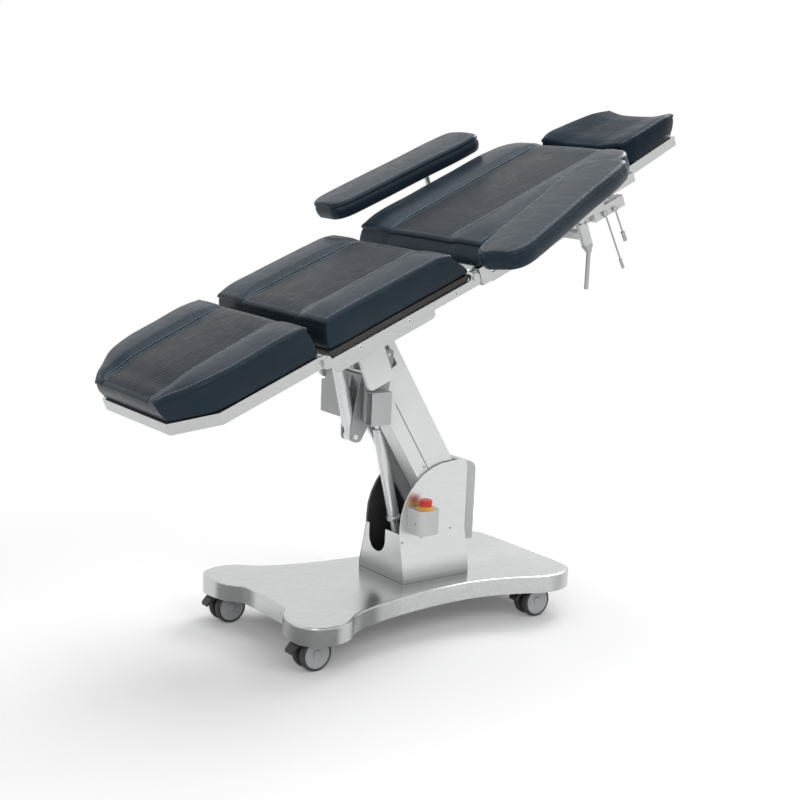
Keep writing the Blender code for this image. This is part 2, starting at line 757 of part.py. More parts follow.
def make_base(base):
    outline = base_outline(OUTLINE_STEPS)
    low = COVER_TOP - SKIRT_HEIGHT
    inside = COVER_TOP - COVER_SHEET
    column_foot = PIVOT_X - PEDESTAL_FOOT_REACH + COLUMN_INSET
    column_head = PIVOT_X + PEDESTAL_HEAD_REACH - COLUMN_HEAD_SETBACK
    column_half = PEDESTAL_HALF_WIDTH - PEDESTAL_SHEET - GAP

    cover = put("base_cover", prism(outline, "flat", low, COVER_TOP), base, PAINT)
    bevel_top(cover, COVER_EDGE_RADIUS)
    cut(cover, prism(inset(outline, COVER_SHEET), "flat", low - OVERRUN, inside))
    cut(cover, box(
        (column_foot - GAP, -column_half - GAP, low),
        (column_head + GAP, column_half + GAP, COVER_TOP + OVERRUN),
    ))

    plate_top = inside - GAP
    plate = inset(base_outline(PLATE_OUTLINE_STEPS), PLATE_INSET)
    chassis = put("chassis", prism(plate, "flat", plate_top - PLATE_THICKNESS, plate_top), base, DARK_STEEL)
    join(chassis, box(
        (column_foot, -column_half, plate_top - PLATE_THICKNESS / 2), (column_head, column_half, COVER_TOP + GAP)
    ))
    join(chassis, column_walls(column_half))
    inner = column_half - COLUMN_PLATE
    cut(chassis, box(
        (column_foot - OVERRUN, -inner, COVER_TOP + COLUMN_FLOOR),
        (column_head - COLUMN_PLATE, inner, PEDESTAL_TOP + OVERRUN),
    ))
    lugs = LIFT_EYE_HALF + GAP
    for near, far in ((-lugs - LIFT_LUG, -lugs), (lugs, lugs + LIFT_LUG)):
        join(chassis, prism(rounded([
            (LIFT_FOOT_X - LIFT_LUG_RADIUS, COVER_TOP + COLUMN_FLOOR - OVERRUN, 0.0),
            (LIFT_FOOT_X - LIFT_LUG_RADIUS, LIFT_FOOT_Z + LIFT_LUG_RADIUS, LIFT_LUG_RADIUS * NEARLY),
            (LIFT_FOOT_X + LIFT_LUG_RADIUS, LIFT_FOOT_Z + LIFT_LUG_RADIUS, LIFT_LUG_RADIUS * NEARLY),
            (LIFT_FOOT_X + LIFT_LUG_RADIUS, COVER_TOP + COLUMN_FLOOR - OVERRUN, 0.0),
        ]), "side", LIFT_MIDDLE_Y + near, LIFT_MIDDLE_Y + far))
    side = column_half + OVERRUN
    cut(chassis, rod((PIVOT_X, -side, PIVOT_Z), (PIVOT_X, side, PIVOT_Z), ARM_SHAFT_RADIUS + GAP))
    link = (PIVOT_X + LINK_OFFSET_X, PIVOT_Z + LINK_OFFSET_Z)
    cut(chassis, rod((link[0], -side, link[1]), (link[0], 0.0, link[1]), LINK_PIN_RADIUS + GAP, SMALL_SIDES))
    reach = lugs + LIFT_LUG + OVERRUN
    cut(chassis, rod(
        (LIFT_FOOT_X, LIFT_MIDDLE_Y - reach, LIFT_FOOT_Z), (LIFT_FOOT_X, LIFT_MIDDLE_Y + reach, LIFT_FOOT_Z),
        LIFT_PIN_RADIUS + GAP,
    ))


def column_walls(half):
    """The column's outline, solid; its channel is cut afterwards."""
    foot = PIVOT_X - PEDESTAL_FOOT_REACH + COLUMN_INSET
    head = PIVOT_X + PEDESTAL_HEAD_REACH - COLUMN_HEAD_SETBACK
    top = PEDESTAL_TOP - COLUMN_INSET
    return prism(rounded([
        (foot, COVER_TOP, 0.0), (foot, top, PEDESTAL_FOOT_REACH - COLUMN_INSET),
        (head - COLUMN_SHOULDER, top, 0.0), (head, COLUMN_BACK_TOP, 0.0), (head, COVER_TOP, 0.0),
    ]), "side", -half, half)


def make_pedestal(base):
    foot = PIVOT_X - PEDESTAL_FOOT_REACH
    head = PIVOT_X + PEDESTAL_HEAD_REACH
    outer = pedestal_section(PEDESTAL_HALF_WIDTH, PEDESTAL_TOP)
    inner = pedestal_section(PEDESTAL_HALF_WIDTH - PEDESTAL_SHEET, PEDESTAL_TOP)
    returned = PEDESTAL_HALF_WIDTH - CHEEK_RETURN
    for label, points in (("near", slice(0, 4)), ("far", slice(4, 8))):
        sheet = outer[points] + inner[points][::-1]
        cheek = put("pedestal_cheek_" + label, prism(sheet, "front", foot, head), base, PAINT)
        side = -1 if label == "near" else 1
        fold = outer[points] + [(side * returned, PEDESTAL_TOP), (side * returned, COVER_TOP + GAP)]
        if label == "far":
            fold = outer[points] + [(side * returned, COVER_TOP + GAP), (side * returned, PEDESTAL_TOP)]
        join(cheek, prism(fold, "front", head - PEDESTAL_SHEET, head))
        wide = PEDESTAL_HALF_WIDTH + PEDESTAL_FLARE + OVERRUN
        change(cheek, "INTERSECT", prism(pedestal_side(0.0, 0.0), "side", -wide, wide))

    edge = pedestal_section(PEDESTAL_HALF_WIDTH - PEDESTAL_SHEET - GAP, FOOT_PANEL_TOP)
    slot_half = FOOT_SLOT_WIDTH / 2
    slot = rounded([
        (LIFT_MIDDLE_Y - slot_half, FOOT_PANEL_TOP + OVERRUN, 0.0),
        (LIFT_MIDDLE_Y - slot_half, FOOT_PANEL_TOP - FOOT_SLOT_DEPTH, slot_half * NEARLY),
        (LIFT_MIDDLE_Y + slot_half, FOOT_PANEL_TOP - FOOT_SLOT_DEPTH, slot_half * NEARLY),
        (LIFT_MIDDLE_Y + slot_half, FOOT_PANEL_TOP + OVERRUN, 0.0),
    ])
    panel_foot = foot + FOOT_PANEL_SETBACK
    panel = put(
        "pedestal_foot_panel", prism(edge, "front", panel_foot, panel_foot + PEDESTAL_SHEET), base, BLACK
    )
    cut(panel, prism(slot, "front", panel_foot - OVERRUN, panel_foot + PEDESTAL_SHEET + OVERRUN))


def make_control_box(base):
    low = PIVOT_X + PEDESTAL_HEAD_REACH + GAP
    points = rounded([
        (low, BOX_BOTTOM, 0.0), (low + BOX_DEPTH, BOX_BOTTOM, BOX_EDGE_RADIUS),
        (low + BOX_DEPTH, BOX_TOP, BOX_CORNER), (low, BOX_TOP, 0.0),
    ])
    case = put("control_box", prism(points, "side", -BOX_HALF_WIDTH, BOX_HALF_WIDTH), base, PAINT)
    column = PIVOT_X + PEDESTAL_HEAD_REACH - COLUMN_HEAD_SETBACK + GAP
    half = BOX_HALF_WIDTH - BOX_FOOT_INSET
    foot, top = BOX_BOTTOM + BOX_FOOT_INSET, COLUMN_BACK_TOP - BOX_FOOT_INSET
    join(case, box((column, -half, foot), (low + OVERRUN, half, top)))


def make_stop(base):
    """The emergency stop: a box on the near cheek, a collar on its top and a mushroom button in the collar."""
    wall = -PEDESTAL_HALF_WIDTH - GAP
    face = wall - STOP_REACH
    x = PIVOT_X - STOP_FROM_PIVOT
    half = STOP_LENGTH / 2
    corners = [
        (x - half, face, STOP_CORNER), (x + half, face, STOP_CORNER), (x + half, wall, 0.0), (x - half, wall, 0.0),
    ]
    inner = [
        (x - half + STOP_SHEET, face + STOP_SHEET, STOP_CORNER - STOP_SHEET),
        (x + half - STOP_SHEET, face + STOP_SHEET, STOP_CORNER - STOP_SHEET),
        (x + half - STOP_SHEET, wall + OVERRUN, 0.0), (x - half + STOP_SHEET, wall + OVERRUN, 0.0),
    ]
    middle = wall - STOP_REACH / 2
    housing = put("estop_housing", prism(rounded(corners), "flat", STOP_BOTTOM, STOP_TOP), base, PAINT)
    join(housing, rod(
        (x - GLAND_BACK, middle, STOP_BOTTOM - GLAND_LENGTH), (x - GLAND_BACK, middle, STOP_BOTTOM + OVERRUN / 2),
        GLAND_RADIUS, SMALL_SIDES,
    ))
    cut(housing, prism(rounded(inner), "flat", STOP_BOTTOM + STOP_SHEET, STOP_TOP - STOP_SHEET))
    bore = STOP_STEM_RADIUS + GAP
    cut(housing, rod((x, middle, STOP_TOP - STOP_SHEET - OVERRUN), (x, middle, STOP_TOP + OVERRUN), bore))

    seat = STOP_TOP + GAP
    neck = seat + STOP_COLLAR_PLATE + STOP_NECK_HEIGHT
    turned("estop_collar", [
        (bore, seat), (bore, neck), (STOP_NECK_RADIUS, neck), (STOP_NECK_RADIUS, seat + STOP_COLLAR_PLATE),
        (STOP_COLLAR_RADIUS, seat + STOP_COLLAR_PLATE), (STOP_COLLAR_RADIUS, seat), (bore, seat),
    ], base, YELLOW, at=(x, middle, 0.0))

    skirt = STOP_COLLAR_PLATE + STOP_TRAVEL + GAP
    under = skirt + STOP_NECK_HEIGHT
    top = under + STOP_CAP
    round_off = STOP_CAP / 3
    axis = make_axis("estop_button_axis", base, (x, middle, seat))
    turned("estop_button", [
        (0.0, top), (STOP_BUTTON_RADIUS - round_off, top), (STOP_BUTTON_RADIUS, top - round_off),
        (STOP_BUTTON_RADIUS, skirt), (STOP_NECK_RADIUS + GAP, skirt), (STOP_NECK_RADIUS + GAP, under),
        (STOP_STEM_RADIUS, under), (STOP_STEM_RADIUS, under - STOP_STEM_LENGTH), (0.0, under - STOP_STEM_LENGTH),
    ], axis, RED)


def make_caster(end, side, base, x, y):
    """A twin-wheel caster: its housing, its wheels on one axle and its lock pedal."""
    name = "caster_" + end + "_" + side + "_"
    swivel = make_axis(name + "axis", base, (x, y, 0.0))
    seat = COVER_TOP - COVER_SHEET - GAP - PLATE_THICKNESS - GAP
    half_web = CASTER_WEB / 2
    boss_low = seat - CASTER_BOSS_HEIGHT
    web = CASTER_WEB_RADIUS
    eye = PEDAL_EYE_RADIUS
    eye_low = PEDAL_PIVOT_HEIGHT - eye
    housing = put(name + "housing", prism(rounded([
        (-CASTER_TRAIL - web, WHEEL_RADIUS - web, web * NEARLY), (web - CASTER_TRAIL, WHEEL_RADIUS - web, web * NEARLY),
        (CASTER_BOSS_RADIUS - GAP, eye_low + eye * 2, 0.0), (-PEDAL_PIVOT_REACH - eye, eye_low + eye * 2, eye * NEARLY),
        (-PEDAL_PIVOT_REACH - eye, eye_low, eye * NEARLY), (-CASTER_BOSS_RADIUS, eye_low, 0.0),
    ]), "side", -half_web, half_web), swivel, GREY_PLASTIC)
    join(housing, rod((0.0, 0.0, boss_low), (0.0, 0.0, seat), CASTER_BOSS_RADIUS, CASTER_SIDES))
    cut(housing, rod(
        (-CASTER_TRAIL, -CASTER_WEB, WHEEL_RADIUS), (-CASTER_TRAIL, CASTER_WEB, WHEEL_RADIUS), AXLE_RADIUS + AXLE_GAP,
        SMALL_SIDES,
    ))
    cut(housing, rod(
        (-PEDAL_PIVOT_REACH, -CASTER_WEB, PEDAL_PIVOT_HEIGHT), (-PEDAL_PIVOT_REACH, CASTER_WEB, PEDAL_PIVOT_HEIGHT),
        PEDAL_PIN_RADIUS + GAP, SMALL_SIDES,
    ))

    dish = WHEEL_OUTER_Y - WHEEL_HUB_DISH
    shoulder = WHEEL_OUTER_Y - WHEEL_TYRE_EDGE
    half = [
        (0.0, dish), (WHEEL_HUB_RADIUS, dish), (WHEEL_HUB_RADIUS, WHEEL_OUTER_Y),
        (WHEEL_RADIUS - WHEEL_TYRE_EDGE, WHEEL_OUTER_Y), (WHEEL_RADIUS, shoulder), (WHEEL_RADIUS, WHEEL_INNER_Y),
        (AXLE_RADIUS, WHEEL_INNER_Y),
    ]
    wheels = half + [(radius, -height) for radius, height in reversed(half)]
    hub = make_axis(name + "wheels_axis", swivel, (-CASTER_TRAIL, 0.0, WHEEL_RADIUS))
    turned(name + "wheels", wheels, hub, RUBBER, axis="Y", sides=CASTER_SIDES)

    pivot = make_axis(name + "pedal_axis", swivel, (-PEDAL_PIVOT_REACH, 0.0, PEDAL_PIVOT_HEIGHT))
    thick = PEDAL_THICKNESS / 2
    pedal = put(name + "pedal", prism([
        (eye, -thick), (eye, thick), (-thick, eye), (-PEDAL_REACH, thick * 2 - PEDAL_DROP),
        (-PEDAL_REACH - PEDAL_TAB, thick - PEDAL_DROP - PEDAL_TAB_DROP),
        (-PEDAL_REACH - PEDAL_TAB, -thick - PEDAL_DROP - PEDAL_TAB_DROP), (-PEDAL_REACH, -thick / 2 - PEDAL_DROP),
    ], "side", -PEDAL_WIDTH / 2, PEDAL_WIDTH / 2), pivot, BLACK)
    slot = half_web + GAP
    cut(pedal, box((-PEDAL_FORK, -slot, -PEDAL_DROP), (PEDAL_WIDTH, slot, PEDAL_DROP)))
    join(pedal, rod((0.0, -slot - OVERRUN, 0.0), (0.0, slot + OVERRUN, 0.0), PEDAL_PIN_RADIUS, SMALL_SIDES))


def make_arm(base):
    """The lift arm in its own frame: x across it, z along it from its pivot."""
    axis = make_axis("lift_arm_axis", base, (PIVOT_X, 0.0, PIVOT_Z), ARM_LEAN)
    head = ARM_DEPTH - ARM_FOOT_EDGE
    top = ARM_LENGTH + ARM_TOP_RISE
    arm = put("lift_arm", prism(rounded([
        (-ARM_FOOT_EDGE, -ARM_TAIL, ARM_TAIL_CORNER), (ARM_TAIL_HEAD, -ARM_TAIL, ARM_TAIL_HEAD_CORNER),
        (ARM_TAIL_HEAD, ARM_TAIL_RISE, ARM_TAIL_CORNER), (head, ARM_SHOULDER_RISE, ARM_SHOULDER_CORNER),
        (head, top, 0.0), (ARM_COVER_START, ARM_LENGTH + ARM_STEP_RISE, 0.0),
        (-ARM_FOOT_EDGE, ARM_LENGTH + ARM_FOOT_TOP_RISE, ARM_FOOT_TOP_RISE),
    ]), "side", -ARM_HALF_WIDTH, ARM_HALF_WIDTH), axis, PAINT)
    flank = ARM_HALF_WIDTH - ARM_COVER_SHEET - GAP * 2
    for side in (-1, 1):
        edges = sorted((side * flank, side * (ARM_HALF_WIDTH + OVERRUN)))
        cut(arm, box((ARM_COVER_START, edges[0], ARM_TAIL_RISE), (ARM_DEPTH, edges[1], top + OVERRUN)))
    cell = -ARM_HALF_WIDTH + ARM_CELL_NEAR_WALL
    slot_far = ARM_HALF_WIDTH - SLOT_FAR_WALL
    slot_near = slot_far - SLOT_WIDTH
    cut(arm, box(
        (ARM_SHEET - ARM_FOOT_EDGE, cell, -ARM_TAIL - OVERRUN),
        (ARM_CELL_HEAD, slot_near - ARM_MIDDLE_WALL, top + OVERRUN),
    ))
    cut(arm, box(
        (-ARM_FOOT_EDGE - OVERRUN, slot_near, -ARM_TAIL - OVERRUN), (head - ARM_SHEET, slot_far, ARM_SLOT_TOP)
    ))
    cut(arm, box(
        (LINK_NOTCH_START, -ARM_HALF_WIDTH - OVERRUN, ARM_LENGTH - LINK_NOTCH_DROP),
        (ARM_DEPTH, cell + OVERRUN / 2, top + OVERRUN),
    ))
    side = ARM_HALF_WIDTH + OVERRUN
    cut(arm, rod((0.0, -side, ARM_LENGTH), (0.0, side, ARM_LENGTH), TILT_SHAFT_RADIUS + GAP))
    shaft = PEDESTAL_HALF_WIDTH - PEDESTAL_SHEET - GAP
    join(arm, rod((0.0, -shaft, 0.0), (0.0, shaft, 0.0), ARM_SHAFT_RADIUS))

    inner = ARM_HALF_WIDTH - ARM_COVER_SHEET
    back = ARM_COVER_DEPTH - ARM_FOOT_EDGE
    start = ARM_COVER_START + GAP
    cover_low = ARM_SHOULDER_RISE / 2
    cover = put("lift_arm_cover", prism(rounded([
        (start, -ARM_HALF_WIDTH, 0.0), (back, -ARM_HALF_WIDTH, ARM_COVER_EDGE_RADIUS),
        (back, ARM_HALF_WIDTH, ARM_COVER_EDGE_RADIUS), (start, ARM_HALF_WIDTH, 0.0), (start, inner, 0.0),
        (back - ARM_COVER_SHEET, inner, ARM_COVER_EDGE_RADIUS - ARM_COVER_SHEET),
        (back - ARM_COVER_SHEET, -inner, ARM_COVER_EDGE_RADIUS - ARM_COVER_SHEET), (start, -inner, 0.0),
    ]), "flat", cover_low, top), axis, PAINT)
    clear = PEDESTAL_FOOT_REACH + COVER_CLEARANCE
    cut(cover, rod((0.0, -side, 0.0), (0.0, side, 0.0), clear, ROUND_SIDES * 2))
    cut(cover, box(
        (LINK_NOTCH_START, -ARM_HALF_WIDTH - OVERRUN, ARM_LENGTH - LINK_NOTCH_DROP), (head, cell, top + OVERRUN)
    ))


def make_link(base):
    """The level link: a flat bar on two pins, parallel to the arm."""
    axis = make_axis("level_link_axis", base, (PIVOT_X + LINK_OFFSET_X, 0.0, PIVOT_Z + LINK_OFFSET_Z), ARM_LEAN)
    half = LINK_HALF_WIDTH
    near = LINK_MIDDLE_Y - LINK_THICKNESS / 2
    link = put("level_link", prism(rounded([
        (-half, -half, half * NEARLY), (half, -half, half * NEARLY), (half, ARM_LENGTH + half, half * NEARLY),
        (-half, ARM_LENGTH + half, half * NEARLY),
    ]), "side", near, near + LINK_THICKNESS), axis, STEEL)
    column = PEDESTAL_HALF_WIDTH - PEDESTAL_SHEET - GAP
    lug = HEAD_LUG_FROM + HEAD_LUG_PLATE
    for end, height in ((column, 0.0), (lug, ARM_LENGTH)):
        join(link, rod((0.0, -end, height), (0.0, LINK_MIDDLE_Y, height), LINK_PIN_RADIUS, SMALL_SIDES))


def make_lift(base):
    """The lift actuator: a tube hinged in the pedestal and a rod that pushes the arm."""
    top = arm_point(LIFT_TOP_ACROSS, LIFT_TOP_ALONG)
    lean, length = lean_and_length((LIFT_FOOT_X, LIFT_FOOT_Z), top)
    axis = make_axis("lift_tube_axis", base, (LIFT_FOOT_X, LIFT_MIDDLE_Y, LIFT_FOOT_Z), lean)
    bore = LIFT_ROD_RADIUS + GAP
    collar_top = LIFT_COLLAR_LOW + LIFT_COLLAR_HEIGHT
    tube = turned("lift_tube", [
        (0.0, LIFT_TUBE_LENGTH - LIFT_BORE_DEPTH), (bore, LIFT_TUBE_LENGTH - LIFT_BORE_DEPTH),
        (bore, LIFT_TUBE_LENGTH), (LIFT_TUBE_RADIUS, LIFT_TUBE_LENGTH), (LIFT_TUBE_RADIUS, collar_top),
        (LIFT_COLLAR_RADIUS, collar_top), (LIFT_COLLAR_RADIUS, LIFT_COLLAR_LOW),
        (LIFT_NECK_RADIUS, LIFT_COLLAR_LOW), (LIFT_NECK_RADIUS, LIFT_LUG_RADIUS / 2), (0.0, LIFT_LUG_RADIUS / 2),
    ], axis, STEEL)
    join(tube, rod((0.0, -LIFT_EYE_HALF, 0.0), (0.0, LIFT_EYE_HALF, 0.0), LIFT_LUG_RADIUS))
    pin = LIFT_EYE_HALF + GAP + LIFT_LUG
    join(tube, rod((0.0, -pin, 0.0), (0.0, pin, 0.0), LIFT_PIN_RADIUS))

    slide = make_axis("lift_rod_axis", axis, (0.0, 0.0, length))
    ram = turned("lift_rod", [
        (0.0, LIFT_PIN_RADIUS), (LIFT_ROD_RADIUS, LIFT_PIN_RADIUS),
        (LIFT_ROD_RADIUS, LIFT_TUBE_LENGTH - LIFT_ROD_INSIDE - length),
        (0.0, LIFT_TUBE_LENGTH - LIFT_ROD_INSIDE - length),
    ], slide, STEEL)
    cross = SLOT_WIDTH / 2 - GAP
    join(ram, rod((0.0, -cross, 0.0), (0.0, cross, 0.0), LIFT_PIN_RADIUS * NEARLY))


def arm_point(across, along):
    """A place on the arm at rest, in the base's frame."""
    turn = Matrix.Rotation(-ARM_LEAN, 3, "Y")
    spot = turn @ Vector((across, 0.0, along))
    return PIVOT_X + spot.x, PIVOT_Z + spot.z


def lean_and_length(foot, top):
    across = top[0] - foot[0]
    up = top[1] - foot[1]
    return math.atan2(-across, up), math.hypot(across, up)


def make_level_head(base):
    """The head that the arm and the link keep upright, with the covers on its flanks."""
    top = arm_point(0.0, ARM_LENGTH)
    axis = make_axis("level_head_axis", base, (top[0], 0.0, top[1]))
    lug_in = HEAD_LUG_FROM
    lug_out = HEAD_LUG_FROM + HEAD_LUG_PLATE
    plate = rounded([
        (-HEAD_LUG_REACH, -HEAD_DROP, HEAD_CORNER), (HEAD_HEAD_REACH, -HEAD_DROP, HEAD_CORNER),
        (HEAD_LINK_REACH, HEAD_LINK_LOW, HEAD_CORNER), (HEAD_LINK_REACH, HEAD_LINK_TOP, HEAD_CORNER),
        (HEAD_LINK_FOOT, HEAD_LINK_TOP, HEAD_CORNER), (-HEAD_LUG_REACH, HEAD_LUG_TOP, HEAD_LUG_REACH / 2),
    ])
    head = put("level_head", prism(plate, "side", -lug_out, -lug_in), axis, DARK_STEEL)
    join(head, prism(plate, "side", lug_in, lug_out))
    bottom = -HEAD_DROP
    join(head, prism([
        (-HEAD_WEB_FOOT - HEAD_WEB, -HEAD_WEB), (-HEAD_WEB_FOOT, -HEAD_WEB),
        (HEAD_WEB_HEAD + HEAD_WEB, bottom + GAP), (HEAD_WEB_HEAD, bottom + GAP),
    ], "side", -lug_in - HEAD_WEB, lug_in + HEAD_WEB))
    clevis = CLEVIS_RADIUS
    tab = rounded([
        (TILT_FOOT_X - clevis, TILT_FOOT_Z - clevis, clevis * NEARLY),
        (TILT_FOOT_X + clevis, TILT_FOOT_Z - clevis, clevis * NEARLY),
        (HEAD_WEB_HEAD + HEAD_WEB / 2, bottom + HEAD_WEB, 0.0), (-HEAD_WEB_FOOT - HEAD_WEB / 2, -HEAD_WEB * 2, 0.0),
        (TILT_FOOT_X - clevis, TILT_FOOT_Z + HEAD_WEB_FOOT, HEAD_CORNER),
    ])
    half_gap = CLEVIS_GAP / 2
    join(head, prism(tab, "side", TILT_MIDDLE_Y - half_gap - CLEVIS_PLATE, TILT_MIDDLE_Y - half_gap))
    join(head, prism(tab, "side", TILT_MIDDLE_Y + half_gap, TILT_MIDDLE_Y + half_gap + CLEVIS_PLATE))
    side = lug_out + OVERRUN
    cut(head, rod((0.0, -side, 0.0), (0.0, side, 0.0), TILT_SHAFT_RADIUS + GAP))
    cut(head, rod(
        (LINK_OFFSET_X, -side, LINK_OFFSET_Z), (LINK_OFFSET_X, -lug_in + OVERRUN, LINK_OFFSET_Z),
        LINK_PIN_RADIUS + GAP, SMALL_SIDES,
    ))
    reach = half_gap + CLEVIS_PLATE + OVERRUN
    cut(head, rod(
        (TILT_FOOT_X, TILT_MIDDLE_Y - reach, TILT_FOOT_Z), (TILT_FOOT_X, TILT_MIDDLE_Y + reach, TILT_FOOT_Z),
        TILT_PIN_RADIUS + GAP,
    ))

    start = lug_out + GAP
    for label, side in (("near", -1), ("far", 1)):
        edges = sorted((side * start, side * HEAD_HALF_WIDTH))
        case = put("level_head_cover_" + label, box(
            (-HEAD_HEAD_REACH - GAP, edges[0], -HEAD_DROP), (HEAD_HEAD_REACH, edges[1], -HEAD_WALL_TOP)
        ), axis, PAINT)
        sheet = HEAD_SHEET
        hollow = sorted((side * (start + sheet), side * (HEAD_HALF_WIDTH - sheet)))
        low_x, high_x = -HEAD_HEAD_REACH - OVERRUN, HEAD_HEAD_REACH - sheet
        if side > 0:
            low_x, high_x = sheet - HEAD_HEAD_REACH, HEAD_HEAD_REACH + OVERRUN
        cut(case, box((low_x, hollow[0], sheet - HEAD_DROP), (high_x, hollow[1], -HEAD_WALL_TOP - sheet)))
        if side > 0:
            panel = [
                (PANEL_NEAR_EDGE, -HEAD_DROP), (HEAD_HALF_WIDTH, -HEAD_DROP), (HEAD_HALF_WIDTH, -HEAD_WALL_TOP),
                (BEAM_OUTER - sheet, -HEAD_WALL_TOP), (BEAM_OUTER - sheet, 0.0), (PANEL_NEAR_EDGE, 0.0),
            ]
            join(case, prism(panel, "front", -HEAD_HEAD_REACH - GAP - sheet, -HEAD_HEAD_REACH - GAP / 2))

    end = BEAM_OUTER + YOKE_SOCKET
    put("tilt_shaft", rod((0.0, -end, 0.0), (0.0, end, 0.0), TILT_SHAFT_RADIUS), axis, STEEL)
    return axis


def make_tilt(head):
    """The tilt actuator: a tube hinged under the level head and a rod that pushes the seat."""
    turn = Matrix.Rotation(-SEAT_TILT, 3, "Y")
    spot = turn @ Vector((-TILT_TOP_BACK, 0.0, TILT_TOP_RISE))
    lean, length = lean_and_length((TILT_FOOT_X, TILT_FOOT_Z), (spot.x, spot.z))
    axis = make_axis("tilt_tube_axis", head, (TILT_FOOT_X, TILT_MIDDLE_Y, TILT_FOOT_Z), lean)
    bore = TILT_ROD_RADIUS + GAP
    tube = turned("tilt_tube", [
        (0.0, TILT_TUBE_TOP - TILT_BORE_DEPTH), (bore, TILT_TUBE_TOP - TILT_BORE_DEPTH), (bore, TILT_TUBE_TOP),
        (TILT_TUBE_RADIUS, TILT_TUBE_TOP), (TILT_TUBE_RADIUS, TILT_TUBE_LOW), (TILT_EYE_HALF, TILT_TUBE_LOW),
        (TILT_EYE_HALF, CLEVIS_RADIUS / 2), (0.0, CLEVIS_RADIUS / 2),
    ], axis, STEEL)
    join(tube, rod((0.0, -TILT_EYE_HALF, 0.0), (0.0, TILT_EYE_HALF, 0.0), CLEVIS_RADIUS * NEARLY))
    pin = CLEVIS_GAP / 2 + CLEVIS_PLATE
    join(tube, rod((0.0, -pin, 0.0), (0.0, pin, 0.0), TILT_PIN_RADIUS))

    slide = make_axis("tilt_rod_axis", axis, (0.0, 0.0, length))
    low = TILT_TUBE_TOP - TILT_ROD_INSIDE - length
    ram = turned("tilt_rod", [
        (0.0, TILT_PIN_RADIUS), (TILT_ROD_RADIUS, TILT_PIN_RADIUS), (TILT_ROD_RADIUS, low), (0.0, low),
    ], slide, STEEL)
    cross = TILT_LUG_GAP / 2 - GAP
    join(ram, rod((0.0, -cross, 0.0), (0.0, cross, 0.0), TILT_PIN_RADIUS * NEARLY))


